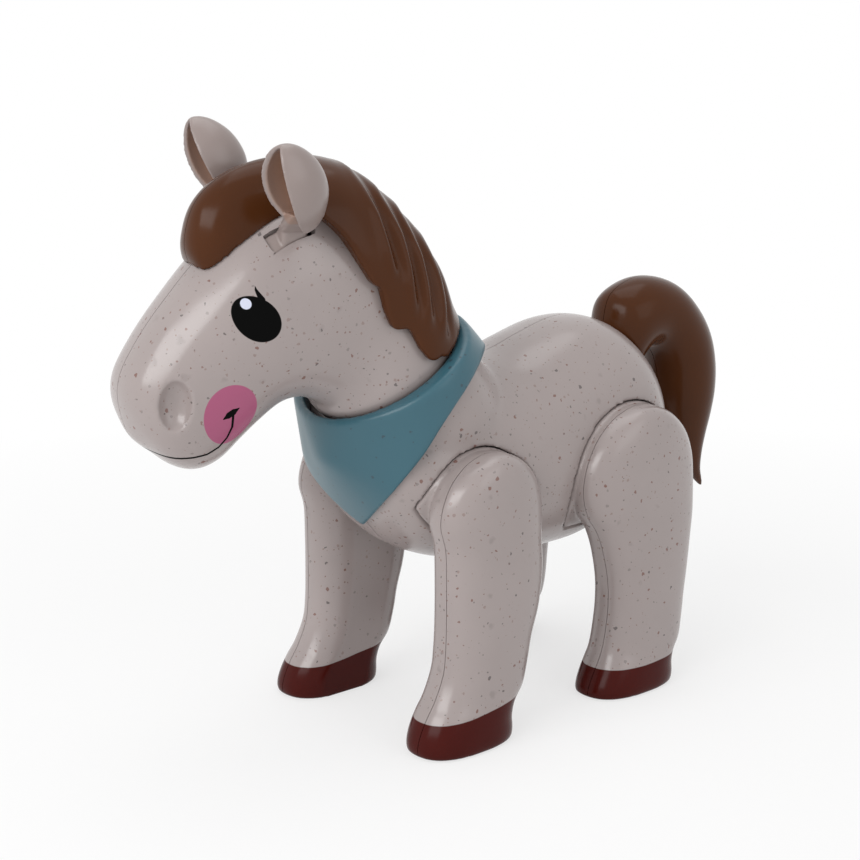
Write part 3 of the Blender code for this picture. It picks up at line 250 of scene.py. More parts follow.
# shares of the head's reach between which the forelock's own smoothing sets in
forelock_ramp = (0.38, 0.50)
MANE_FOOT_RADIUS = 15.9 * MM
# gap between the mane and the head, as a share of the fit
MANE_GAP_SHARE = 0.4
# room in the mane round the swinging ears' cups and root tabs
EAR_CUP_ROOM = 0.3 * MM
EAR_TAB_ROOM = 0.4 * MM
# grooves between the locks, forward and up, from the crest down
mane_groove_shares = (
    ((0.200, 1.040), (0.158, 0.870), (0.138, 0.750), (0.115, 0.610), (0.105, 0.520)),
    ((0.105, 0.940), (0.060, 0.770), (0.040, 0.600), (0.030, 0.430), (0.035, 0.300)),
    ((0.015, 0.850), (-0.025, 0.650), (-0.035, 0.500), (-0.040, 0.370), (-0.035, 0.240)),
    ((-0.095, 0.690), (-0.115, 0.540), (-0.120, 0.410), (-0.115, 0.280), (-0.110, 0.180)),
)
# a furrow behind each groove line and a lower ridge before it: offsets and widths of their bells
FURROW_OFFSET = 0.8 * MM
FURROW_WIDTH = 1.1 * MM
RIDGE_OFFSET = 1.2 * MM
RIDGE_WIDTH = 1.2 * MM
RIDGE_SHARE = 0.5
# depth of a groove at its start, and the shares of its length over which it deepens and fades
GROOVE_START_DEPTH = 0.35
GROOVE_DEEPENS = 0.3
GROOVE_FADES = 0.45

# Ears: a cup on a root tab that swings about a pin
ear_pins = {side: joint_places[f"ear_{name}_swing"] for name, side in SIDES.items()}
# degrees of swing at which the head and the mane are cut free
head_swings = (-8, -2, 4, 11, 18)
mane_swings = (-8, -2, 4, 9, 14, 18)
EAR_PIN_RADIUS = 1.3 * MM
EAR_ROOT_THICKNESS = 3.0 * MM
EAR_TAB_LENGTH = 5.0 * MM
EAR_TAB_HEIGHT = 8.4 * MM
EAR_CUP_OUT = 6.3 * MM
EAR_CUP_FORWARD = 0.6 * MM
EAR_CUP_RISE = 10.1 * MM
EAR_CUP_LENGTH = 17.9 * MM
EAR_SPLAY = math.radians(14)
EAR_LEAN = math.radians(27)
TAB_SQUARENESS = 5.0
# the root tab's top inside the cup, and by how many millimetres the tab grows thicker and longer toward it
TAB_TOP_RISE = 2.7 * MM
TAB_TOP_BACK = 0.9 * MM
tab_flares = ((0.0, 0.0), (0.0, 0.2), (0.9, 0.8))
# how far ahead of the cup's middle its rim and the centre of its curve lie
EAR_RIM_AHEAD = 3.4 * MM
EAR_CUP_SHIFT = 0.8 * MM
EAR_HALF_WIDTH = 5.6 * MM
EAR_HALF_DEPTH = 7.3 * MM
EAR_ROOT_INNER_RADIUS = 8.6 * MM
EAR_ROOT_OUTER_RADIUS = 6.0 * MM
EAR_SIDE_WALL_SHARE = 0.7
EAR_HOLLOW_LEAST = 0.1 * MM
# depths between which the hollow's colour sets in, and its fading from the back to the rim
hollow_depths = (0.7 * MM, 1.2 * MM)
hollow_fade = (-4.0 * MM, 3.4 * MM)
HOLLOW_FADE_SHARE = 0.6
# height, depth and width of the cup's sections
ear_shares = ((0.03, 0.42, 0.46), (0.14, 0.72, 0.72), (0.32, 0.96, 0.95), (0.50, 1.00, 1.00),
              (0.68, 0.90, 0.88), (0.84, 0.66, 0.62), (0.95, 0.36, 0.34))

# Tail: outer side back and up from the root, inner side back and up, half width
TAIL_REACH = 35.0 * MM
TAIL_WIDTH = 22.0 * MM
tail_shares = (
    (-0.117, 0.166, 0.166, -0.117, 0.318),
    (-0.057, 0.363, 0.229, -0.046, 0.373),
    (0.134, 0.460, 0.280, -0.006, 0.400),
    (0.340, 0.474, 0.326, -0.003, 0.418),
    (0.543, 0.411, 0.371, -0.034, 0.432),
    (0.726, 0.263, 0.411, -0.091, 0.432),
    (0.863, 0.080, 0.446, -0.174, 0.423),
    (0.943, -0.131, 0.474, -0.289, 0.400),
    (0.966, -0.331, 0.511, -0.431, 0.364),
    (0.951, -0.503, 0.569, -0.574, 0.309),
    (0.923, -0.660, 0.649, -0.717, 0.241),
    (0.914, -0.803, 0.740, -0.849, 0.168),
    (0.931, -0.946, 0.840, -0.980, 0.095),
)
tail_tip_shares = (0.994, -1.114)
SPINDLE_ROOM_RADIUS = 4.9 * MM
SPINDLE_ROOM_REACH = 7.3 * MM
SPINDLE_LIP = 1.5 * MM
TAIL_SEAT_RADIUS = 7.0 * MM
TAIL_SEAT_RISE = 0.8 * MM
TAIL_BEARING_DEPTH = 3.6 * MM

# points round a section, a room, a rod, an ear's outside and its hollow, and steps between two sections
RING_POINTS = 96
ROOM_POINTS = 32
ROUND_POINTS = 96
EAR_OUTSIDE_POINTS = 64
EAR_HOLLOW_POINTS = 32
SECTION_STEPS = 6
BALL_SUBDIVISIONS = 5
# squareness of a plain oval
ROUND = 2.0
# distances past the part, for cuts
FAR = 60.0 * MM
BEYOND = 4 * FAR
# cells of the meshes that are finer or coarser than the large shells
FINE_CELL = 0.4 * MM
FINER_CELL = 0.35 * MM
EAR_CELL = 0.25 * MM
COARSE_CELL = 0.6 * MM
# share of the way that a round of smoothing moves a point, and the rounds at each stage
SMOOTHING_SHARE = 0.5
smoothing = {"torso": 8, "shoulder": 80, "pockets": 2, "scarf": 20, "scarf_inside": 4, "scarf_tied": 14,
             "head": 24, "muzzle": 130, "nostrils": 3, "mane": 5, "forelock": 30, "locks": 3, "mane_cut": 4,
             "ear": 8, "hub": 6, "leg": 4, "tail": 10}
CREASE_ANGLE = math.radians(50)


def length(name, description, default):
    return FloatProperty(name=name, description=description, default=default, unit="LENGTH")


def colour_of(name, description, default):
    return FloatVectorProperty(name=name, description=description, default=default, subtype="COLOR")


def watts(name, description, default):
    return FloatProperty(name=name, description=description, default=default, min=0.0, unit="POWER")


class ToyHorseShape(bpy.types.PropertyGroup):
    wall: length("Wall", "Thickness of the moulded shells", 1.8 * MM)
    seam: length("Seam", "Gap between two halves", 0.16 * MM)
    fit: length("Fit", "Gap between two moulded parts that touch", 0.3 * MM)
    cell: length("Cell", "Size of the mesh's cells on the large shells", 0.45 * MM)
    lock_depth: length("Lock depth", "Depth of the furrows between two locks of the mane", 1.1 * MM)
    nostril_depth: length("Nostril depth", "Depth of the nostrils' bowls", 2.7 * MM)


class ToyHorseFinish(bpy.types.PropertyGroup):
    oat: colour_of("Oat", "Colour of the body's plastic", (0.345, 0.295, 0.285))
    brown: colour_of("Brown", "Colour of the mane and the tail", (0.068, 0.021, 0.006))
    teal: colour_of("Teal", "Colour of the scarf", (0.040, 0.117, 0.152))
    pearl: colour_of("Pearl", "Colour of the ears outside", (0.285, 0.23, 0.215))
    blush: colour_of("Blush", "Colour deep inside the ears", (0.33, 0.175, 0.105))
    hoof: colour_of("Hoof", "Colour of the painted hooves", (0.060, 0.0065, 0.0045))
    cheek: colour_of("Cheek", "Colour of the cheek spots", (0.37, 0.085, 0.175))
    ink: colour_of("Ink", "Colour of the printed eyes and mouth", (0.003, 0.003, 0.003))
    glint: colour_of("Glint", "Colour of the printed glints in the eyes", (0.62, 0.65, 0.78))
    fleck_red: colour_of("Red fleck", "Colour of the reddish flecks", (0.16, 0.055, 0.036))
    fleck_dark: colour_of("Dark fleck", "Colour of the dark flecks", (0.07, 0.055, 0.055))
    fleck_teal: colour_of("Scarf fleck", "Colour of the scarf's flecks", (0.035, 0.04, 0.05))
    fleck_size: length("Fleck size", "Greatest radius of a fleck", 0.33 * MM)
    fleck_cell: length("Fleck spacing", "Size of the cells that may hold a fleck", 1.2 * MM)
    fleck_share: FloatProperty(name="Fleck share", description="Share of the cells that hold a fleck",
                               default=0.62, subtype="FACTOR")


class ToyHorseStage(bpy.types.PropertyGroup):
    lens: FloatProperty(name="Lens", description="The camera's focal length", default=64.67,
                        unit="CAMERA")
    eye_place: FloatVectorProperty(name="Camera", description="Where the camera stands", subtype="XYZ",
                                   unit="LENGTH", default=(0.2432, -0.224755, 0.1277))
    key_strength: watts("Key light", "Power of the large lamp on the left", 2.2)
    top_strength: watts("Top light", "Power of the lamp above", 1.5)
    fill_strength: watts("Fill light", "Power of the lamp on the right", 0.6)
    room_strength: FloatProperty(name="Room light", description="Strength of the even light all round",
                                 default=0.62, min=0.0)


def shape_settings():
    return bpy.context.scene.toy_horse_shape


def finish_settings():
    return bpy.context.scene.toy_horse_finish


# Plain forms


def oval(centre, side, up, half_width, reach, squareness, count):
    """A ring of points round a squarish oval."""
    ring = []
    for k in range(count):
        angle = 2 * math.pi * k / count
        c, s = math.cos(angle), math.sin(angle)
        across = math.copysign(abs(c) ** (2 / squareness), c) * half_width
        rise = math.copysign(abs(s) ** (2 / squareness), s) * reach
        ring.append(centre + side * across + up * rise)
    return ring


def skin(rings, start=None, end=None, into=None):
    """A closed solid through rings of points, with a pole or a flat face at each end."""
    shape = into or bmesh.new()
    loops = [[shape.verts.new(point) for point in ring] for ring in rings]
    count = len(loops[0])
    faces = []
    for low, high in zip(loops, loops[1:]):
        for k in range(count):
            faces.append(shape.faces.new((low[k], low[(k + 1) % count], high[(k + 1) % count], high[k])))
    for loop, pole in ((loops[0], start), (loops[-1], end)):
        if pole is None:
            faces.append(shape.faces.new(loop))
            continue
        tip = shape.verts.new(pole)
        for k in range(count):
            faces.append(shape.faces.new((loop[k], loop[(k + 1) % count], tip)))
    bmesh.ops.recalc_face_normals(shape, faces=faces)
    return shape


def eased(rows, before=None, after=None):
    """Rows of numbers with smooth rows between them; a row past an end sets the slope there."""
    between = []
    for k in range(len(rows) - 1):
        start, stop = rows[k], rows[k + 1]
        ahead = rows[k - 1] if k else (before or start)
        behind = rows[k + 2] if k + 2 < len(rows) else (after or stop)
        for step in range(SECTION_STEPS):
            t = step / SECTION_STEPS
            weights = ((-t + 2 * t**2 - t**3) / 2, (2 - 5 * t**2 + 3 * t**3) / 2,
                       (t + 4 * t**2 - 3 * t**3) / 2, (t**3 - t**2) / 2)
            between.append(tuple(sum(w * x for w, x in zip(weights, column))
                                 for column in zip(ahead, start, stop, behind)))
    return between + [rows[-1]]


def grown(rows, amount):
    """Section rows with every side moved outward."""
    moved = []
    for y1, z1, y2, z2, half, squareness, shift in rows:
        way = Vector((0, y1 - y2, z1 - z2)).normalized() * amount
        moved.append((y1 + way.y, z1 + way.z, y2 - way.y, z2 - way.z, half + amount, squareness, shift))
    return moved


def lofted(rows, first=None, last=None, count=RING_POINTS):
    """A smooth solid through sections. A row holds two opposite points of the side view, the half width,
    the squareness and the sideways shift; first and last are the domed ends' poles."""
    rows = list(rows)
    before = after = None

    def mirrored(row):
        return (*row[2:4], *row[:2], -row[4], *row[5:])

    if first:
        before = mirrored(rows[0])
        rows.insert(0, (*first, *first, 0.0, *rows[0][5:]))
    if last:
        after = mirrored(rows[-1])
        rows.append((*last, *last, 0.0, *rows[-1][5:]))
    smooth = eased(rows, before, after)
    rings = []
    for y1, z1, y2, z2, half, squareness, shift in smooth[1 if first else 0:-1 if last else None]:
        top, low = Vector((0, y1, z1)), Vector((0, y2, z2))
        up = (top - low).normalized()
        rings.append(oval((top + low) / 2 + ACROSS * shift, ACROSS, up, half, (top - low).length / 2,
                          squareness, count))
    poles = [Vector((rows[at][6], *pole)) if pole else None for at, pole in ((0, first), (-1, last))]
    return skin(rings, *poles)


def rod(start, end, radius, into=None, end_radius=None):
    """A round bar from one point to another, or a cone's frustum."""
    shape = into or bmesh.new()
    way = end - start
    place = Matrix.Translation((start + end) / 2) @ way.to_track_quat("Z", "Y").to_matrix().to_4x4()
    bmesh.ops.create_cone(shape, cap_ends=True, segments=ROUND_POINTS, radius1=radius,
                          radius2=radius if end_radius is None else end_radius, depth=way.length,
                          matrix=place)
    return shape


def cross_rod(place, x_from, x_to, radius, into=None):
    return rod(Vector((x_from, place.y, place.z)), Vector((x_to, place.y, place.z)), radius, into=into)


def block(low, high):
    shape = bmesh.new()
    low, high = Vector(map(min, low, high)), Vector(map(max, low, high))
    place = Matrix.Translation((low + high) / 2) @ Matrix.Diagonal((*(high - low), 1))
    bmesh.ops.create_cube(shape, size=1, matrix=place)
    return shape


def prism(outline, origin, x_axis, y_axis, reach):
    """A long bar with a drawn outline, which reaches both ways from the origin's plane."""
    points = [origin + x_axis * x + y_axis * y for x, y in outline]
    way = x_axis.cross(y_axis) * reach
    shape = bmesh.new()
    low, high = (shape.faces.new([shape.verts.new(point + end) for point in points]) for end in (-way, way))
    count = len(points)
    for k in range(count):
        after = (k + 1) % count
        shape.faces.new((low.verts[k], low.verts[after], high.verts[after], high.verts[k]))
    bmesh.ops.triangulate(shape, faces=[low, high])
    bmesh.ops.recalc_face_normals(shape, faces=shape.faces)
    return shape


def ball(centre, axes, into=None):
    """An ellipsoid: its centre and its three half axes."""
    shape = into or bmesh.new()
    matrix = Matrix.Translation(centre) @ Matrix(axes).transposed().to_4x4()
    bmesh.ops.create_icosphere(shape, subdivisions=BALL_SUBDIVISIONS, radius=1, matrix=matrix)
    return shape


def half_space(side, seam_x=0.0):
    """The block on one side of a seam, less half a gap."""
    near = seam_x + side * shape_settings().seam / 2
    return block((near, -BEYOND, -BEYOND), (side * BEYOND, BEYOND, BEYOND))


# Pieces


def made(name, shape):
    """A new object from a mesh under construction."""
    mesh = bpy.data.meshes.new(name)
    shape.to_mesh(mesh)
    shape.free()
    thing = bpy.data.objects.new(name, mesh)
    bpy.context.scene.collection.objects.link(thing)
    return thing


def copied(thing, name):
    again = bpy.data.objects.new(name, thing.data.copy())
    bpy.context.scene.collection.objects.link(again)
    return again


def discard(*things):
    for thing in things:
        mesh = thing.data
        bpy.data.objects.remove(thing)
        bpy.data.meshes.remove(mesh)


def settled(thing):
    """Applies an object's modifiers, so that its mesh is plain."""
    mesh = bpy.data.meshes.new_from_object(thing.evaluated_get(bpy.context.evaluated_depsgraph_get()))
    thing.modifiers.clear()
    old = thing.data
    thing.data = mesh
    bpy.data.meshes.remove(old)
    mesh.name = thing.name
    return thing


def carved(thing, operation, *shapes):
    """Cuts, joins or keeps with shapes, which are used up."""
    tools = [made("tool", shape) if isinstance(shape, bmesh.types.BMesh) else shape for shape in shapes]
    for tool in tools:
        change = thing.modifiers.new(tool.name, "BOOLEAN")
        change.operation = operation
        change.object = tool
        change.solver = "MANIFOLD"
    settled(thing)
    discard(*tools)
    return thing


def fused(thing, cell, stage):
    """Melts an object's overlapping solids into one skin of even cells with soft edges."""
    change = thing.modifiers.new("cells", "REMESH")
    change.mode = "VOXEL"
    change.voxel_size = cell
    return softened(thing, stage)


def softened(thing, stage, weight=None):
    """Smooths a mesh by the rounds of its stage; weight gives each point's share of them."""
    smooth = thing.modifiers.new("soft", "SMOOTH")
    smooth.factor = SMOOTHING_SHARE
    smooth.iterations = smoothing[stage]
    if weight:
        group = thing.vertex_groups.new(name="soft")
        for vertex in thing.data.vertices:
            group.add([vertex.index], weight(vertex.co), "REPLACE")
        smooth.vertex_group = group.name
    return settled(thing)


def ramp(value, low, high):
    """From 0 at low to 1 at high, with soft ends."""
    t = max(0.0, min(1.0, (value - low) / (high - low)))
    return t * t * (3 - 2 * t)


def dressed(thing, material, body, slot, *nodes):
    """Gives a finished piece its material, its body and the nodes that it stands for."""
    if not thing.data.polygons:
        raise RuntimeError(f"{thing.name} came out empty")
    thing.data.materials.clear()
    thing.data.materials.append(material)
    thing.data.shade_smooth()
    thing.data.set_sharp_from_angle(angle=CREASE_ANGLE)
    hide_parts(*nodes)
    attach(thing, body)


def head_place():
    """From the straight-headed horse to the head as it is turned."""
    turn = Matrix.Rotation(HEAD_TURN, 4, NECK_UP)
    return Matrix.Translation(NECK) @ turn @ Matrix.Translation(-NECK)


def halved(whole, name, material, body, slot, node, turned=False):
    """Parts a finished piece at its middle seam into two halves; the head's seam is turned with the head."""
    for side_name, side in SIDES.items():
        keep = half_space(side)
        if turned:
            keep.transform(head_place())
        half = carved(copied(whole, f"{name}_{side_name}"), "INTERSECT", keep)
        dressed(half, material, body, slot, f"{node}_{side_name}")
    discard(whole)


# Materials


def worked(operation, turned=False):
    """An operator between two values, or a value and a number, that adds its Math node."""
    def work(self, other):
        return self.math(operation, *((other, self) if turned else (self, other)))
    return work


class Value:
    """A shader socket that takes part in sums."""

    def __init__(self, nodes, socket):
        self.nodes = nodes
        self.socket = socket

    def math(self, operation, *terms):
        return self.nodes.node("ShaderNodeMath", dict(enumerate(terms)), operation=operation)

    __add__ = __radd__ = worked("ADD")
    __sub__, __rsub__ = worked("SUBTRACT"), worked("SUBTRACT", turned=True)
    __mul__ = __rmul__ = worked("MULTIPLY")
    __truediv__, __rtruediv__ = worked("DIVIDE"), worked("DIVIDE", turned=True)
    __pow__, __rpow__ = worked("POWER"), worked("POWER", turned=True)
    __lt__, __gt__ = worked("LESS_THAN"), worked("GREATER_THAN")
    least, most = worked("MINIMUM"), worked("MAXIMUM")

    def root(self):
        return self.math("SQRT", self)

    def clamped(self):
        return self.most(0.0).least(1.0)

    def beside(self, output):
        """Another output of the node that this one comes from."""
        return Value(self.nodes, self.socket.node.outputs[output])


class Nodes:
    """A node tree under construction: every node comes from node()."""

    def __init__(self, tree):
        self.tree = tree

    def node(self, kind, inputs=None, output=0, **settings):
        """Adds a node: its settings first, then the values or links of its sockets."""
        added = self.tree.nodes.new(kind)
        for name, setting in settings.items():
            setattr(added, name, setting)
        for socket, value in (inputs or {}).items():
            self.feed(added.inputs[socket], value)
        return Value(self, added.outputs[output]) if added.outputs else None

    def feed(self, socket, value):
        if isinstance(value, Value):
            self.tree.links.new(value.socket, socket)
        elif socket.type == "RGBA" and len(value) == 3:
            socket.default_value = (*value, 1)
        else:
            socket.default_value = value

    def backdrop_seen(self):
        """Whether the camera, a gloss or a glass looks at this, rather than its light falling on the toy."""
        seen = self.node("ShaderNodeLightPath", output="Is Camera Ray")
        return seen.most(seen.beside("Is Glossy Ray")).most(seen.beside("Is Transmission Ray"))


class Finish(Nodes):
    """A material under construction: one plastic, with what is printed on it."""

    def __init__(self, name):
        self.material = bpy.data.materials.new(name)
        self.material.use_nodes = True
        super().__init__(self.material.node_tree)
        self.shader = self.tree.nodes["Principled BSDF"]
        self.surface = self.tree.nodes["Material Output"].inputs["Surface"]
        self.place = self.node("ShaderNodeTexCoord", output="Object")

    def mixed(self, factor, first, second):
        return self.node("ShaderNodeMix", {"Factor": factor, 6: first, 7: second}, output=2,
                         data_type="RGBA")

    def moved(self, operation, first, second):
        return self.node("ShaderNodeVectorMath", {0: first, 1: second}, operation=operation)

    def axes(self, vector):
        first = self.node("ShaderNodeSeparateXYZ", {0: vector})
        return [first.beside(k) for k in range(3)]

    def noise(self, scale, detail, output="Fac", vector=None):
        return self.node("ShaderNodeTexNoise",
                         {"Vector": vector or self.place, "Scale": scale, "Detail": detail}, output=output)

    def clouded(self, colour, spread, scale, detail=3.0):
        """A colour that drifts a little darker and paler in soft clouds."""
        return self.mixed(self.noise(scale, detail), [c * (1 - spread) for c in colour],
                          [c * (1 + spread) for c in colour])

    def flecks(self, cell, size, share, drift, edge=6.0):
        """Scattered flecks in the plastic: how much of one is here, and its own random number."""
        shift = self.moved("ADD", self.place, (drift, drift, drift))
        bend = self.noise(1 / (FLECK_BEND * cell), 1.0, "Color", shift)
        bent = self.moved("ADD", shift, self.moved("MULTIPLY", bend, (FLECK_BEND * cell,) * 3))
        gap = self.node("ShaderNodeTexVoronoi", {"Vector": bent, "Scale": 1 / cell, "Randomness": 1.0},
                        output="Distance")
        lot = self.axes(gap.beside("Color"))
        radius = (lot[1] ** 2.0 * (1 - FLECK_LEAST) + FLECK_LEAST) * (size / cell)
        here = ((radius - gap) * (edge * cell / size)).clamped() * (lot[0] < share)
        return here, lot[2]

    def finished(self, colour, roughness, gloss=0.5):
        """Sets the plastic's colour, roughness and strength of reflection, over a fine grain."""
        height = self.noise(GRAIN_SCALE, 2.0) * GRAIN_SHARE + self.noise(SWELL_SCALE, 1.0)
        self.normal = self.node("ShaderNodeBump",
                                {"Height": height, "Distance": GRAIN_DEPTH, "Strength": 1.0})
        for name, value in self.coating(colour, roughness, gloss).items():
            self.feed(self.shader.inputs[name], value)
        return self.material

    def coating(self, colour, roughness, gloss):
        return {"Base Color": colour, "Roughness": roughness, "Specular IOR Level": gloss,
                "Normal": self.normal}

    def printed(self, mask, colour, roughness, gloss):
        """Lays an ink with its own gloss over the plastic, where the mask says."""
        top = self.node("ShaderNodeBsdfPrincipled", self.coating(colour, roughness, gloss))
        self.covered(mask, top)

    def covered(self, mask, top):
        """Puts another shader over what the material has so far."""
        below = Value(self, self.surface.links[0].from_socket)
        self.feed(self.surface, self.node("ShaderNodeMixShader", {0: mask, 1: below, 2: top}))


# relief of the moulded surfaces: a fine grain on a slow swell
GRAIN_DEPTH = 0.03 * MM
GRAIN_SCALE = 900.0
GRAIN_SHARE = 0.3
SWELL_SCALE = 90.0
# how far a fleck's outline wanders, as a share of its cell, and the smallest fleck beside the greatest
FLECK_BEND = 0.45
FLECK_LEAST = 0.25
# crops of flecks in the body's plastic: drift, spacing, size, share and depth of colour
fleck_crops = ((0.0, 0.78, 0.75, 1.1, 0.6), (0.11, 1.5, 1.45, 0.9, 0.75), (0.23, 1.0, 1.2, 0.7, 0.35))
# a fleck is dark where its random number is past this
DARK_FLECKS_FROM = 0.68
# smudges are wide, faint flecks: their spacing and size beside the flecks', and their depth of colour
SMUDGE_CELLS = 3.0
SMUDGE_SIZES = 3.2
SMUDGE_WEIGHT = 0.2
SCARF_FLECK_CELL = 1.5 * MM
SCARF_FLECK_SIZE = 0.46 * MM
SCARF_FLECK_WEIGHT = 0.6
# the inside mouldings' white, at its darkest and palest
inner_whites = ((0.70, 0.70, 0.68), (0.78, 0.78, 0.76))


def speckled(name, roughness=0.22):
    """The body's plastic: a pale base, faint clouds and smudges, and scattered reddish and dark flecks."""
    look = finish_settings()
    finish = Finish(name)
    colour = finish.clouded(look.oat, spread=0.08, scale=60.0)
    smudge, lot = finish.flecks(SMUDGE_CELLS * look.fleck_cell, SMUDGE_SIZES * look.fleck_size, share=0.6,
                                drift=0.3, edge=1.6)
    colour = finish.mixed(smudge * SMUDGE_WEIGHT, colour, look.fleck_dark)
    for drift, spacing, size, share, weight in fleck_crops:
        here, lot = finish.flecks(look.fleck_cell * spacing, look.fleck_size * size,
                                  look.fleck_share * share, drift)
        tint = finish.mixed(lot > DARK_FLECKS_FROM, look.fleck_red, look.fleck_dark)
        colour = finish.mixed(here * weight, colour, tint)
    finish.finished(colour, roughness)
    return finish


# the painted hooves' upper lines: height at the hip, and rise toward the tail
hoof_lines = {"front": (8.6 * MM, 0.10), "rear": (6.6 * MM, 0.02)}
HOOF_WAVE = 0.25 * MM
HOOF_EDGE = 0.12 * MM


def hoofed_material(end):
    """The legs' plastic, with the hoof painted up to a line."""
    finish = speckled(f"speckled_oat_{end}_leg")
    height, slope = hoof_lines[end]
    x, y, z = finish.axes(finish.place)
    line = (y - HIPS[end].y) * slope + height
    wave = finish.noise(200.0, 1.0) * HOOF_WAVE
    hoof = ((line + wave - z) * (1 / HOOF_EDGE)).clamped()
    paint = finish.clouded(finish_settings().hoof, spread=0.2, scale=70.0, detail=2.0)
    finish.printed(hoof, paint, roughness=0.2, gloss=0.1)
    return finish.material


# Printed face: places in millimetres forward of the neck's middle and above it, seen from the side
eye_place = (34.37, 13.97)
eye_half_axes = (5.03, 3.85)
EYE_SLANT = math.radians(37)
glint_place = (36.31, 16.81)
GLINT_RADIUS = 1.02
cheek_place = (38.41, -4.48)
cheek_half_axes = (5.66, 6.16)
# places and half widths along each line of ink
lash_line = ((34.45, 19.95, 0.08), (34.35, 19.3, 0.28), (33.95, 18.5, 0.45), (33.4, 17.6, 0.6))
leaf_line = ((39.9, -5.1, 0.2), (38.9, -4.45, 0.72), (38.0, -3.9, 0.72), (36.9, -3.2, 0.15))
smile_line = ((37.95, -4.6, 0.3), (37.75, -7.1, 0.3), (38.5, -9.3, 0.28), (40.0, -11.1, 0.27),
              (42.3, -12.3, 0.26), (45.0, -12.7, 0.25), (48.0, -12.9, 0.25), (51.5, -12.8, 0.25),
              (58.0, -12.3, 0.25))
# softness of the prints' edges
SPOT_EDGE = 0.08
LINE_EDGE = 0.06


def face_material():
    look = finish_settings()
    finish = speckled("speckled_oat_face", 0.2)
    back = head_place().inverted()
    local = finish.node("ShaderNodeMapping", {"Vector": finish.place, "Rotation": tuple(back.to_euler()),
                                              "Location": tuple(back.translation - NECK)})
    x, y, z = finish.axes(local)
    forward, up = y * (-1 / MM), z * (1 / MM)

    def spot(place, half_axes, slant=0.0):
        c, s = math.cos(slant), math.sin(slant)
        ahead, above = forward - place[0], up - place[1]
        first = (ahead * c + above * s) / half_axes[0]
        second = (above * c - ahead * s) / half_axes[1]
        return ((1.0 - (first ** 2.0 + second ** 2.0).root()) * (min(half_axes) / SPOT_EDGE)).clamped()

    def line(stops):
        strokes = []
        for (ax, az, ar), (bx, bz, br) in zip(stops, stops[1:]):
            square = (bx - ax) ** 2 + (bz - az) ** 2
            along = (((forward - ax) * (bx - ax) + (up - az) * (bz - az)) * (1 / square)).clamped()
            gap = ((forward - ax - along * (bx - ax)) ** 2.0 + (up - az - along * (bz - az)) ** 2.0).root()
            strokes.append(((along * (br - ar) + ar - gap) * (1 / LINE_EDGE)).clamped())
        return strokes

    finish.printed(spot(cheek_place, cheek_half_axes), look.cheek, roughness=0.3, gloss=0.4)
    ink = spot(eye_place, eye_half_axes, EYE_SLANT)
    for stroke in (*line(lash_line), *line(leaf_line), *line(smile_line)):
        ink = ink.most(stroke)
    finish.printed(ink, look.ink, roughness=0.25, gloss=0.03)
    finish.printed(spot(glint_place, (GLINT_RADIUS, GLINT_RADIUS)), look.glint, roughness=0.3, gloss=0.4)
    return finish.material


def brown_material(name):
    finish = Finish(name)
    colour = finish.clouded(finish_settings().brown, spread=0.15, scale=45.0)
    return finish.finished(colour, roughness=0.2, gloss=0.14)


def teal_material():
    look = finish_settings()
    finish = Finish("scarf_teal")
    here, lot = finish.flecks(SCARF_FLECK_CELL, SCARF_FLECK_SIZE, share=0.6, drift=0.4)
    colour = finish.clouded(look.teal, spread=0.08, scale=50.0)
    colour = finish.mixed(here * SCARF_FLECK_WEIGHT, colour, look.fleck_teal)
    return finish.finished(colour, roughness=0.32, gloss=0.4)


def pearl_material(side):
    """The ears' plastic, pinker and darker in the hollow, which the mesh's own attribute marks."""
    look = finish_settings()
    finish = Finish(f"ear_pearl_{side}")
    depth = finish.node("ShaderNodeAttribute", output="Fac", attribute_name="hollow")
    colour = finish.clouded(look.pearl, spread=0.05, scale=60.0)
    return finish.finished(finish.mixed(depth, colour, look.blush), roughness=0.28)


def white_material():
    finish = Finish("inner_white")
    colour = finish.mixed(finish.noise(80.0, 2.0), *inner_whites)
    return finish.finished(colour, roughness=0.42)


# Forms of the horse


def barrel_point(along, up):
    """A place in the barrel's side view."""
    return CHEST_Y + BARREL_LENGTH * along, BELLY_Z + BARREL_HEIGHT * up


def barrel(grow=0.0):
    rows = [(*barrel_point(along, top), *barrel_point(along, low), BARREL_WIDTH * half,
             BARREL_SQUARENESS, 0.0) for along, top, low, half in barrel_shares]
    if grow < 0:
        return lofted(grown(rows[1:-1], grow), count=ROOM_POINTS)
    poles = [(y, (row[1] + row[3]) / 2)
             for row, y in ((rows[0], CHEST_Y - grow), (rows[-1], CHEST_Y + BARREL_LENGTH + grow))]
    return lofted(grown(rows, grow), *poles)


def neck_ring(depth, half, front, rear):
    centre = NECK - NECK_UP * depth + NECK_REAR * ((rear - front) / 2)
    return oval(centre, ACROSS, NECK_REAR, half, (front + rear) / 2, ROUND, RING_POINTS)


def torso_form(grow=0.0, rim=False):
    """The barrel and the neck's stump in it; the rim closes the stump up to the neck's edge."""
    rows = eased([(STUMP_SINK + (STUMP_DEPTH - STUMP_SINK) * depth, RIM_HALF_WIDTH * half + grow,
                   RIM_HALF_DEPTH * front + grow, RIM_HALF_DEPTH * rear + grow)
                  for depth, half, front, rear in stump_shares])
    if rim:
        reach = RIM_HALF_DEPTH + SCARF_THICKNESS
        rows.insert(0, (0.0, RIM_HALF_WIDTH + SCARF_THICKNESS, reach, reach))
    return skin([neck_ring(*row) for row in rows], into=barrel(grow))


def neck_rod(depth_from, depth_to, radius, into=None):
    return rod(NECK - NECK_UP * depth_from, NECK - NECK_UP * depth_to, radius, into=into)


def tail_rod(out_from, out_to, radius, into=None):
    return rod(TAIL_ROOT + TAIL_OUT * out_from, TAIL_ROOT + TAIL_OUT * out_to, radius, into=into)


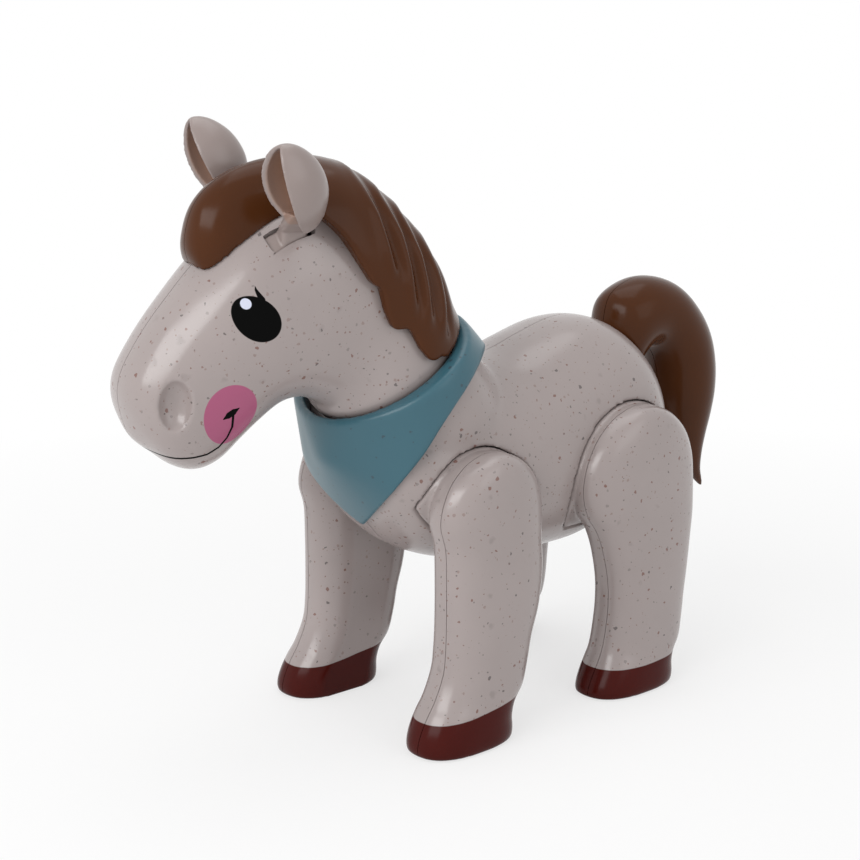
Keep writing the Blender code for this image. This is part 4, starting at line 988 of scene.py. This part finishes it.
def head_point(forward, up):
    """A place in the straight head's side view."""
    return NECK.y - HEAD_REACH * forward, NECK.z + HEAD_RISE * up


def head_rows():
    rows = [(*head_point(*row[:2]), *head_point(*row[2:4]), HEAD_WIDTH * row[4], row[5], 0.0)
            for row in head_shares]
    plain = len(rows) - len(neck_fullness)
    for k, (deeper, wider) in enumerate(neck_fullness, plain):
        row = grown(rows[k:k + 1], deeper * MM)[0]
        rows[k] = (*row[:4], row[4] - deeper * MM + wider * MM, *row[5:])
    return rows


def head_form():
    """The fine head, swollen a little round the muzzle, where the smoothing takes it back."""
    rows = head_rows()
    for k, amount in enumerate(muzzle_fullness):
        rows[k:k + 1] = grown(rows[k:k + 1], amount * MM)
    return lofted(rows, head_point(*nose_tip_shares))


def forward_weight(start, full):
    """A weight that grows from 0 to 1 between two shares of the head's reach."""
    return lambda place: ramp((NECK.y - place.y) / HEAD_REACH, start, full)


def leg_rows(end, side):
    hip, disc = HIPS[end], disc_radii[end]
    table = []
    for angle, near, far in disc_top_shares:
        turn = math.radians(angle)
        table.append((hip.z + disc * math.sin(turn), disc * math.cos(turn), disc * math.cos(turn), near, far))
    table += [(hip.z * height, disc * front, disc * rear, near, far)
              for height, front, rear, near, far in leg_shares[end]]
    rows = []
    for z, front, rear, near, far in table:
        rows.append((hip.y - front, z, hip.y + rear, z, LEG_THICKNESS * (far - near) / 2, LEG_SQUARENESS,
                     side * (LEG_INNER_X + LEG_THICKNESS * (near + far) / 2)))
    return rows


def tail_point(back, up):
    """A place in the tail's side view."""
    return TAIL_ROOT.y + TAIL_REACH * back, TAIL_ROOT.z + TAIL_REACH * up


def shoulder_weight(place):
    """Where the neck's stump melts into the barrel."""
    return (ramp(place.z, *(NECK.z - depth for depth in shoulder_depths))
            * (1 - ramp(place.y, *(NECK.y + rear for rear in shoulder_rears))))


class TOYHORSE_OT_torso(bpy.types.Operator):
    """Two halves of the torso, with the legs' pockets and the tail's seat"""

    bl_idname = "toyhorse.torso"
    bl_label = "Torso"

    def execute(self, context):
        shape = shape_settings()
        form = torso_form()
        tail_rod(-TAIL_BEARING_DEPTH, TAIL_SEAT_RISE, TAIL_SEAT_RADIUS, into=form)
        body = fused(made("torso", form), shape.cell, "torso")
        softened(body, "shoulder", shoulder_weight)
        cutters = []
        swing = HIPS["front"] + Vector((0, SWING_ROOM, -SWING_ROOM / 2))
        for side in SIDES.values():
            cutters += hip_rods(side, FLANK_X, DISC_CLEARANCE)
            cutters.append(cross_rod(swing, side * FLANK_X, side * FAR, disc_radii["front"] + DISC_CLEARANCE))
        carved(body, "DIFFERENCE", *cutters)
        fused(body, shape.cell, "pockets")
        carved(body, "DIFFERENCE",
               tail_rod(-TAIL_BEARING_DEPTH - shape.wall, FAR, SPINDLE_ROOM_RADIUS - SPINDLE_LIP),
               neck_rod(NECK_FLANGE_DEPTH, -FAR, NECK_TUBE_RADIUS + 2 * shape.fit))
        carved(body, "DIFFERENCE", self.room(shape.wall))
        halved(body, "torso_shell", speckled("speckled_oat").material, "torso", "speckled_oat", "torso")
        return {"FINISHED"}

    def room(self, wall):
        """The space inside the shells, less the walls of the legs' pockets and the tail's seat."""
        room = made("room", barrel(-wall))
        walls = []
        for side in SIDES.values():
            walls += hip_rods(side, FLANK_X - wall, DISC_CLEARANCE + wall)
        carved(room, "DIFFERENCE", *walls, tail_rod(-TAIL_BEARING_DEPTH, FAR, TAIL_SEAT_RADIUS))
        carved(room, "UNION", neck_rod(STUMP_DEPTH, NECK_FLANGE_DEPTH - wall, NECK_FLANGE_RADIUS))
        shafts = bmesh.new()
        for hip in HIPS.values():
            cross_rod(hip, -FLANK_X - wall, FLANK_X + wall, SHAFT_ROOM_RADIUS, into=shafts)
        return carved(room, "UNION", shafts)


def hip_rods(side, x_from, grow):
    """Rods out from both hips of a side, a little wider than the legs' discs."""
    return [cross_rod(hip, side * x_from, side * FAR, disc_radii[end] + grow) for end, hip in HIPS.items()]


class TOYHORSE_OT_scarf(bpy.types.Operator):
    """The scarf's ring with its pointed front and the knot behind"""

    bl_idname = "toyhorse.scarf"
    bl_label = "Scarf"

    def execute(self, context):
        shape = shape_settings()
        drape = made("scarf_moulding", self.drape(SCARF_THICKNESS + shape.fit))
        scarf = fused(drape, shape.cell, "scarf")
        side = [(y * SCARF_SIDE_REACH, z * SCARF_SIDE_REACH) for y, z in scarf_side_shares]
        carved(scarf, "INTERSECT", prism(side, NECK, Vector((0, 1, 0)), UPWARD, FAR))
        edge = [(across * MM, up * MM) for across, up in eased(scarf_edge)]
        edge += [(BEYOND, edge[-1][1]), (BEYOND, -BEYOND), (edge[0][0], -BEYOND)]
        for way in SIDES.values():
            plane = [axis * Vector((way, 1, 1)) for axis in (SCARF_EDGE_ACROSS, SCARF_EDGE_UP)]
            wedge = made("wedge", prism(edge, NECK, *plane, BEYOND))
            carved(wedge, "INTERSECT", block((0, -BEYOND, -BEYOND), (way * BEYOND, BEYOND, BEYOND)))
            carved(scarf, "DIFFERENCE", wedge)
        lip = NECK_LIP_HALF_WIDTH, NECK_LIP_HALF_DEPTH, NECK_LIP_HALF_DEPTH
        bore = skin([neck_ring(depth, *lip) for depth in (-FAR, STUMP_SINK + shape.wall)])
        inner = fused(made("inner", torso_form(shape.fit)), shape.cell, "scarf_inside")
        carved(scarf, "DIFFERENCE", bore)
        carved(scarf, "DIFFERENCE", inner)
        carved(scarf, "UNION", carved(made("knot", self.knot()), "DIFFERENCE", torso_form(shape.fit)))
        fused(scarf, FINER_CELL, "scarf_tied")
        dressed(scarf, teal_material(), "torso", "scarf_teal", "scarf")
        return {"FINISHED"}

    def drape(self, grow):
        """The hull drawn over the chest and the neck's stump, which the scarf is cut from."""
        drape = torso_form(grow, rim=True)
        back = [vertex for vertex in drape.verts if vertex.co.y > CHEST_Y + BARREL_LENGTH * SCARF_BACK_SHARE]
        bmesh.ops.delete(drape, geom=back, context="VERTS")
        hull = bmesh.ops.convex_hull(drape, input=drape.verts)
        bmesh.ops.delete(drape, geom=[face for face in drape.faces if face not in hull["geom"]],
                         context="FACES_ONLY")
        loose = [vertex for vertex in drape.verts if not vertex.link_faces]
        bmesh.ops.delete(drape, geom=loose, context="VERTS")
        bmesh.ops.recalc_face_normals(drape, faces=drape.faces)
        return drape

    def knot(self):
        knot = bmesh.new()
        for (across, out, down), axes, lean in knot_lobes:
            turn = Matrix.Rotation(math.radians(lean), 3, "X")
            middle = NECK + NECK_REAR * (RIM_HALF_DEPTH + out * MM) - NECK_UP * (down * MM)
            ball(middle + ACROSS * (across * MM), [turn @ (Vector(axis) * MM) for axis in axes], into=knot)
        return knot


class TOYHORSE_OT_head(bpy.types.Operator):
    """Two halves of the head on a neck tube, with the ears' slots and the nostrils"""

    bl_idname = "toyhorse.head"
    bl_label = "Head"

    def execute(self, context):
        shape = shape_settings()
        form = head_form()
        neck_rod(NECK_FLANGE_DEPTH - 2 * shape.wall, -STUMP_SINK, NECK_TUBE_RADIUS, into=form)
        head = fused(made("head", form), shape.cell, "head")
        softened(head, "muzzle", forward_weight(*muzzle_ramp))
        bowls = []
        for side in SIDES.values():
            start = Vector((side * NOSTRIL_SEARCH_X, *head_point(*nostril_shares)))
            found, near, normal, face = head.closest_point_on_mesh(start)
            bowls.append((near, normal, shape.nostril_depth))
        for bowl in bowls:
            carved(head, "DIFFERENCE", nostril(*bowl))
        fused(head, FINE_CELL, "nostrils")
        for side in SIDES.values():
            carved(head, "DIFFERENCE", ear_root(side, shape.fit))
            for swing in head_swings:
                carved(head, "DIFFERENCE", ear_tab(side, shape.fit, math.radians(swing)))
        room = made("room", lofted(grown(head_rows()[1:-1], -shape.wall), count=ROOM_POINTS))
        carved(room, "UNION", neck_rod(FAR, -STUMP_SINK, NECK_TUBE_RADIUS - shape.wall))
        for bowl in bowls:
            carved(room, "DIFFERENCE", nostril(*bowl, shape.wall))
        carved(head, "DIFFERENCE", room)
        head.data.transform(head_place())
        halved(head, "head_shell", face_material(), "head", "speckled_oat", "head", turned=True)
        return {"FINISHED"}


def nostril(near, normal, depth, grow=0.0):
    """The ellipsoid that presses a nostril's bowl into the muzzle."""
    long_way = (UPWARD - normal * normal.z).normalized()
    axes = (normal * (depth + NOSTRIL_PROUD + grow), long_way * (NOSTRIL_HALF_LENGTH + grow),
            normal.cross(long_way) * (NOSTRIL_HALF_WIDTH + grow))
    return ball(near + normal * NOSTRIL_PROUD, axes)


class TOYHORSE_OT_mane(bpy.types.Operator):
    """Two halves of the mane and forelock, furrowed into locks"""

    bl_idname = "toyhorse.mane"
    bl_label = "Mane"

    def execute(self, context):
        shape = shape_settings()
        mane = made("mane", lofted(self.sections()))
        outline = [(HEAD_REACH * forward, HEAD_RISE * up) for forward, up in mane_outline_shares]
        carved(mane, "INTERSECT", prism(outline, NECK, Vector((0, -1, 0)), UPWARD, FAR))
        rim = made("rim", neck_rod(FAR, -2 * shape.fit, FAR))
        carved(rim, "DIFFERENCE", neck_rod(2 * FAR, -FAR, MANE_FOOT_RADIUS))
        carved(mane, "DIFFERENCE", rim)
        forelock = [(*head_point(*row[:2]), *head_point(*row[2:4]), row[4] * MM, ROUND, 0.0)
                    for row in forelock_shares]
        carved(mane, "UNION", lofted(forelock, None, head_point(*forelock_tip_shares)))
        fused(mane, FINE_CELL, "mane")
        softened(mane, "forelock", forward_weight(*forelock_ramp))
        groove_locks(mane.data, shape.lock_depth)
        softened(mane, "locks")
        head = lofted(grown(head_rows(), MANE_GAP_SHARE * shape.fit), head_point(*nose_tip_shares))
        carved(mane, "DIFFERENCE", head)
        for side in SIDES.values():
            for turn in map(math.radians, mane_swings):
                carved(mane, "DIFFERENCE", ear_cup(side, EAR_CUP_ROOM, turn, count=ROOM_POINTS))
                carved(mane, "DIFFERENCE", ear_tab(side, EAR_TAB_ROOM, turn))
        fused(mane, FINER_CELL, "mane_cut")
        mane.data.transform(head_place())
        halved(mane, "mane_moulding", brown_material("mane_brown"), "head", "mane_brown", "mane", turned=True)
        return {"FINISHED"}

    def sections(self):
        """The head's sections from the brow on, thicker at the crest and the sides."""
        rows = []
        for row, (crest, side) in zip(head_rows()[MANE_FIRST_SECTION:], mane_thickness_shares):
            top, low = Vector(row[:2]), Vector(row[2:4])
            top += (top - low).normalized() * (MANE_THICKNESS * crest)
            rows.append((*top, *low, row[4] + MANE_THICKNESS * side, *row[5:]))
        return rows


def groove_locks(mesh, depth):
    """Presses a furrow into the mane behind each groove line and raises a rounded ridge before it."""
    lines = [[Vector(head_point(*place)) for place in line] for line in mane_groove_shares]
    ways = [vertex.normal.copy() for vertex in mesh.vertices]
    drops = [sum(furrow(vertex.co.yz, line) for line in lines) for vertex in mesh.vertices]
    for vertex, way, drop in zip(mesh.vertices, ways, drops):
        vertex.co -= way * (drop * depth)


def furrow(here, points):
    """How deep a groove line's furrow is at a place in the side view, less its ridge."""
    best = None
    for k, (start, stop) in enumerate(zip(points, points[1:])):
        way = stop - start
        t = max(0.0, min(1.0, (here - start).dot(way) / way.length_squared))
        offset = here - (start + way * t)
        if best is None or offset.length < best[0]:
            side = way.x * offset.y - way.y * offset.x
            best = (offset.length, side, (k + t) / (len(points) - 1))
    gap, side, along = best
    behind = math.copysign(gap, side)
    fade = GROOVE_START_DEPTH + (1 - GROOVE_START_DEPTH) * ramp(along, 0.0, GROOVE_DEEPENS)
    fade *= ramp(1.0 - along, 0.0, GROOVE_FADES)
    return fade * (math.exp(-((behind - FURROW_OFFSET) / FURROW_WIDTH) ** 2)
                   - RIDGE_SHARE * math.exp(-((behind + RIDGE_OFFSET) / RIDGE_WIDTH) ** 2))


def ear_pin(side):
    """The middle of an ear's pin, on the straight head."""
    return head_place().inverted() @ ear_pins[side]


def ear_frame(side, swing=0.0):
    """Where an ear's cup stands: its base point, its sideways, forward and upward directions."""
    turn = Matrix.Rotation(swing, 3, "X")
    lean = turn @ Matrix.Rotation(EAR_LEAN, 3, "X") @ Matrix.Rotation(side * EAR_SPLAY, 3, "Y")
    base = ear_pin(side) + turn @ Vector((side * EAR_CUP_OUT, -EAR_CUP_FORWARD, EAR_CUP_RISE))
    return base, lean @ ACROSS, lean @ Vector((0, -1, 0)), lean @ UPWARD


def ear_rows():
    before, after = ((height, -depth, -width) for height, depth, width in (ear_shares[0], ear_shares[-1]))
    return eased(((0.0, 0.0, 0.0), *ear_shares, (1.0, 0.0, 0.0)), before, after)[1:-1]


def ear_cup(side, grow=0.0, swing=0.0, count=RING_POINTS):
    """An ear's whole leaf, without its hollow."""
    base, sideways, front, up = ear_frame(side, swing)
    rings = [oval(base + up * (EAR_CUP_LENGTH * height) + front * (EAR_CUP_SHIFT * depth), sideways, front,
                  EAR_HALF_WIDTH * width + grow, EAR_HALF_DEPTH * depth + grow, ROUND, count)
             for height, depth, width in ear_rows()]
    return skin(rings, base - up * grow, base + up * (EAR_CUP_LENGTH + grow))


def ear_shell(side, wall):
    """An ear's cup: each section runs round the back from rim to rim, and returns along the hollow."""
    base, sideways, front, up = ear_frame(side)
    rim = math.acos((EAR_RIM_AHEAD - EAR_CUP_SHIFT) / EAR_HALF_DEPTH)
    round_back = 2 * math.pi - 2 * rim
    out = [rim + round_back * k / (EAR_OUTSIDE_POINTS - 1) for k in range(EAR_OUTSIDE_POINTS)]
    home = [2 * math.pi - rim - round_back * k / (EAR_HOLLOW_POINTS - 1) for k in range(EAR_HOLLOW_POINTS)]
    rings = []
    for height, depth, width in ear_rows():
        outer = EAR_HALF_WIDTH * width, EAR_HALF_DEPTH * depth
        inner = (max(outer[0] - EAR_SIDE_WALL_SHARE * wall, EAR_HOLLOW_LEAST),
                 max(outer[1] - wall, EAR_HOLLOW_LEAST))
        rings.append([base + up * (EAR_CUP_LENGTH * height)
                      + front * (EAR_CUP_SHIFT * depth + half_depth * math.cos(angle))
                      + sideways * (half_width * math.sin(angle))
                      for (half_width, half_depth), angles in ((outer, out), (inner, home))
                      for angle in angles])
    return skin(rings, base, base + up * EAR_CUP_LENGTH)


def ear_tab(side, grow=0.0, swing=0.0, into=None):
    """The flat bar from an ear's pin up into its cup."""
    base, sideways, front, up = ear_frame(side, swing)
    turn = Matrix.Rotation(swing, 3, "X")
    foot = ear_pin(side)
    shoulder = foot + turn @ Vector((0, 0, EAR_TAB_HEIGHT))
    top = base + up * TAB_TOP_RISE - front * TAB_TOP_BACK
    half, length = EAR_ROOT_THICKNESS / 2 + grow, EAR_TAB_LENGTH / 2 + grow
    return skin([oval(point, ACROSS, turn @ Vector((0, 1, 0)), half + thicker * MM, length + longer * MM,
                      TAB_SQUARENESS, ROOM_POINTS)
                 for point, (thicker, longer) in zip((foot, shoulder, top), tab_flares)], into=into)


def ear_root(side, grow=0.0, into=None):
    """The round root in the head's slot: its rim follows the head's slope, and turns within itself."""
    pin, half = ear_pin(side), ACROSS * (side * (EAR_ROOT_THICKNESS / 2 + grow))
    return rod(pin - half, pin + half, EAR_ROOT_INNER_RADIUS + grow, into=into,
               end_radius=EAR_ROOT_OUTER_RADIUS + grow)


def mark_hollow(ear, leaf, base, front):
    """Writes how deep in the ear's hollow each point lies, for the colour."""
    tree = BVHTree.FromPolygons([vertex.co for vertex in leaf.data.vertices],
                                [tuple(face.vertices) for face in leaf.data.polygons])
    marks = []
    for vertex in ear.data.vertices:
        near, normal, face, gap = tree.find_nearest(vertex.co)
        depth = ramp((near - vertex.co).dot(normal), *hollow_depths)
        fading = HOLLOW_FADE_SHARE * ramp((vertex.co - base).dot(front), *hollow_fade)
        marks.append(depth * (1 - fading))
    ear.data.attributes.new("hollow", "FLOAT", "POINT").data.foreach_set("value", marks)


class TOYHORSE_OT_ears(bpy.types.Operator):
    """Cupped ears on root tabs"""

    bl_idname = "toyhorse.ears"
    bl_label = "Ears"

    def execute(self, context):
        shape = shape_settings()
        for side_name, side in SIDES.items():
            name = f"ear_{side_name}"
            form = ear_shell(side, shape.wall)
            ear_tab(side, into=form)
            ear_root(side, into=form)
            pin = ear_pin(side)
            cross_rod(pin, pin.x - EAR_ROOT_THICKNESS, pin.x + EAR_ROOT_THICKNESS, EAR_PIN_RADIUS, into=form)
            ear = fused(made(f"{name}_moulding", form), EAR_CELL, "ear")
            base, sideways, front, up = ear_frame(side)
            leaf = made("leaf", ear_cup(side))
            mark_hollow(ear, leaf, base, front)
            discard(leaf)
            ear.data.transform(head_place())
            dressed(ear, pearl_material(side_name), name, "ear_pearl", name)
        return {"FINISHED"}


class TOYHORSE_OT_legs(bpy.types.Operator):
    """Four legs, each an outer and an inner shell"""

    bl_idname = "toyhorse.legs"
    bl_label = "Legs"

    def execute(self, context):
        shape = shape_settings()
        body = fused(made("body", torso_form()), COARSE_CELL, "hub")
        for end in HIPS:
            material = hoofed_material(end)
            for side_name, side in SIDES.items():
                name = f"leg_{end}_{side_name}"
                leg = self.leg(name, end, side, body, shape.wall)
                seam_x = side * (LEG_INNER_X + LEG_THICKNESS * LEG_SEAM_SHARE)
                for part, way in (("outer", side), ("inner", -side)):
                    shell = carved(copied(leg, f"{name}_{part}_shell"), "INTERSECT", half_space(way, seam_x))
                    dressed(shell, material, name, "speckled_oat", f"{name}_{part}")
                discard(leg)
        discard(body)
        return {"FINISHED"}

    def leg(self, name, end, side, body, wall):
        """A whole hollow leg, with the hub that fills its pocket flush with the body."""
        rows = leg_rows(end, side)
        leg = carved(made(name, lofted(rows)), "INTERSECT", self.beyond(side, LEG_INNER_X))
        hub = made("hub", cross_rod(HIPS[end], side * LEG_INNER_X, side * FAR,
                                    disc_radii[end] + DISC_CLEARANCE - HUB_GAP))
        carved(leg, "UNION", carved(hub, "INTERSECT", copied(body, "form")))
        fused(leg, FINE_CELL, "leg")
        room_rows = [row for row in grown(rows[2:], -wall) if row[1] > wall]
        room = made("room", lofted(room_rows, count=ROOM_POINTS))
        carved(room, "INTERSECT", self.beyond(side, LEG_INNER_X + wall))
        shaft = cross_rod(HIPS[end], side * (LEG_INNER_X - wall), side * (LEG_INNER_X + 2 * wall),
                          SHAFT_ROOM_RADIUS)
        return carved(leg, "DIFFERENCE", room, shaft)

    def beyond(self, side, x):
        return block((side * x, -BEYOND, -FAR), (side * FAR, BEYOND, BEYOND))


class TOYHORSE_OT_tail(bpy.types.Operator):
    """Two halves of the tail's curl"""

    bl_idname = "toyhorse.tail"
    bl_label = "Tail"

    def execute(self, context):
        rows = [(*tail_point(*row[:2]), *tail_point(*row[2:4]), TAIL_WIDTH * row[4], ROUND, 0.0)
                for row in tail_shares]
        form = lofted(rows, None, tail_point(*tail_tip_shares))
        tail = fused(made("tail", form), FINE_CELL, "tail")
        carved(tail, "DIFFERENCE", tail_rod(-SPINDLE_ROOM_REACH, SPINDLE_ROOM_REACH, SPINDLE_ROOM_RADIUS))
        halved(tail, "tail_shell", brown_material("tail_brown"), "tail", "mane_brown", "tail")
        return {"FINISHED"}


# what the names of the mouldings inside hold
inside_words = ("shaft", "click", "spindle")


class TOYHORSE_OT_works(bpy.types.Operator):
    """The white mouldings inside: shafts, toothed wheels and click springs"""

    bl_idname = "toyhorse.works"
    bl_label = "Works"

    def execute(self, context):
        material = white_material()
        for name, node in frame["nodes"].items():
            if any(word in name for word in inside_words):
                node.data.materials.clear()
                node.data.materials.append(material)
        return {"FINISHED"}


# the camera's right, and the way from the toy back to it
CAMERA_RIGHT = Vector((0.6593, 0.7519, 0.0)).normalized()
CAMERA_BACK = Vector((0.7363, -0.6456, 0.2028)).normalized()
CLIP_START = 0.01
# each lamp's way from the aim, distance, width and height
LAMP_AIM = Vector((0, 0, 0.06))
lamps = {
    "key": (Vector((0.16, -0.86, 0.48)), 0.7, 0.56, 0.26),
    "top": (UPWARD - CAMERA_BACK * 0.15, 0.8, 0.6, 0.6),
    "fill": (CAMERA_RIGHT + CAMERA_BACK * 0.8 + UPWARD * 0.4, 0.8, 0.5, 0.5),
}
FLOOR_HALF_WIDTH = 6.0
FLOOR_THICKNESS = 0.01
FLOOR_GAP = 0.05 * MM
PAPER_SHADE = 0.9
# where the paper's own glow starts to grow, over how far, and its share nearer than that
GLOW_START = 0.12
GLOW_WIDTH = 0.2
GLOW_NEAR = 0.65


def paper_material():
    """The floor's white paper: seen as even white, and less so near the toy, where its shadow shows."""
    finish = Finish("floor_paper")
    finish.finished((PAPER_SHADE,) * 3, roughness=0.9, gloss=0.2)
    x, y, z = finish.axes(finish.place)
    spread = (((x ** 2.0 + y ** 2.0).root() - GLOW_START) * (1 / GLOW_WIDTH)).clamped()
    glow = finish.node("ShaderNodeEmission", {"Color": (1, 1, 1), "Strength": 1.0})
    finish.covered(finish.backdrop_seen() * (spread * (1 - GLOW_NEAR) + GLOW_NEAR), glow)
    return finish.material


class TOYHORSE_OT_stage(bpy.types.Operator):
    """A pale floor and backdrop, soft lamps and the camera"""

    bl_idname = "toyhorse.stage"
    bl_label = "Stage"

    def execute(self, context):
        scene, stage = context.scene, context.scene.toy_horse_stage
        camera = bpy.data.objects.new("camera", bpy.data.cameras.new("camera"))
        scene.collection.objects.link(camera)
        camera.data.lens = stage.lens
        camera.data.clip_start = CLIP_START
        camera.matrix_world = (
            Matrix.Translation(Vector(stage.eye_place))
            @ Matrix((CAMERA_RIGHT, CAMERA_BACK.cross(CAMERA_RIGHT), CAMERA_BACK)).transposed().to_4x4())
        scene.camera = camera

        floor = made("floor", block((-FLOOR_HALF_WIDTH, -FLOOR_HALF_WIDTH, -FLOOR_THICKNESS),
                                    (FLOOR_HALF_WIDTH, FLOOR_HALF_WIDTH, -FLOOR_GAP)))
        floor.data.materials.append(paper_material())

        for name, (way, distance, width, height) in lamps.items():
            lamp = bpy.data.objects.new(name, bpy.data.lights.new(name, "AREA"))
            scene.collection.objects.link(lamp)
            lamp.data.shape = "RECTANGLE"
            lamp.data.size = width
            lamp.data.size_y = height
            lamp.data.energy = getattr(stage, f"{name}_strength")
            facing = way.to_track_quat("Z", "Y").to_matrix().to_4x4()
            lamp.matrix_world = Matrix.Translation(LAMP_AIM + way.normalized() * distance) @ facing
        self.light_room(scene, stage.room_strength)
        scene.view_settings.view_transform = "Standard"
        return {"FINISHED"}

    def light_room(self, scene, strength):
        """An even light all round, which is seen as plain white."""
        scene.world = scene.world or bpy.data.worlds.new("room")
        scene.world.use_nodes = True
        sky = Nodes(scene.world.node_tree)
        sky.tree.nodes.clear()
        light = sky.node("ShaderNodeBackground", {"Color": (1, 1, 1), "Strength": strength})
        white = sky.node("ShaderNodeBackground", {"Color": (1, 1, 1), "Strength": 1.0})
        both = sky.node("ShaderNodeMixShader", {0: sky.backdrop_seen(), 1: light, 2: white})
        sky.node("ShaderNodeOutputWorld", {"Surface": both})


OPERATORS = (TOYHORSE_OT_torso, TOYHORSE_OT_scarf, TOYHORSE_OT_head, TOYHORSE_OT_ears, TOYHORSE_OT_mane,
             TOYHORSE_OT_legs, TOYHORSE_OT_tail, TOYHORSE_OT_works, TOYHORSE_OT_stage)


class TOYHORSE_PT_panel(bpy.types.Panel):
    """The toy horse's pieces and settings"""

    bl_idname = "TOYHORSE_PT_panel"
    bl_label = "Toy Horse"
    bl_space_type = "VIEW_3D"
    bl_region_type = "UI"
    bl_category = "Toy Horse"

    def draw(self, context):
        for operator in OPERATORS:
            self.layout.operator(operator.bl_idname)
        for group in (getattr(context.scene, name) for name in GROUPS):
            for name in group.bl_rna.properties.keys():
                if name not in ("rna_type", "name"):
                    self.layout.prop(group, name)


GROUPS = {"toy_horse_shape": ToyHorseShape, "toy_horse_finish": ToyHorseFinish,
          "toy_horse_stage": ToyHorseStage}


def register():
    for name, group in GROUPS.items():
        bpy.utils.register_class(group)
        setattr(bpy.types.Scene, name, PointerProperty(type=group))
    for cls in (*OPERATORS, TOYHORSE_PT_panel):
        bpy.utils.register_class(cls)


def unregister():
    for cls in (*OPERATORS, TOYHORSE_PT_panel):
        bpy.utils.unregister_class(cls)
    for name, group in GROUPS.items():
        delattr(bpy.types.Scene, name)
        bpy.utils.unregister_class(group)


def main():
    register()
    for operator in OPERATORS:
        getattr(bpy.ops.toyhorse, operator.bl_idname.split(".")[1])()


if __name__ == "__main__":
    main()
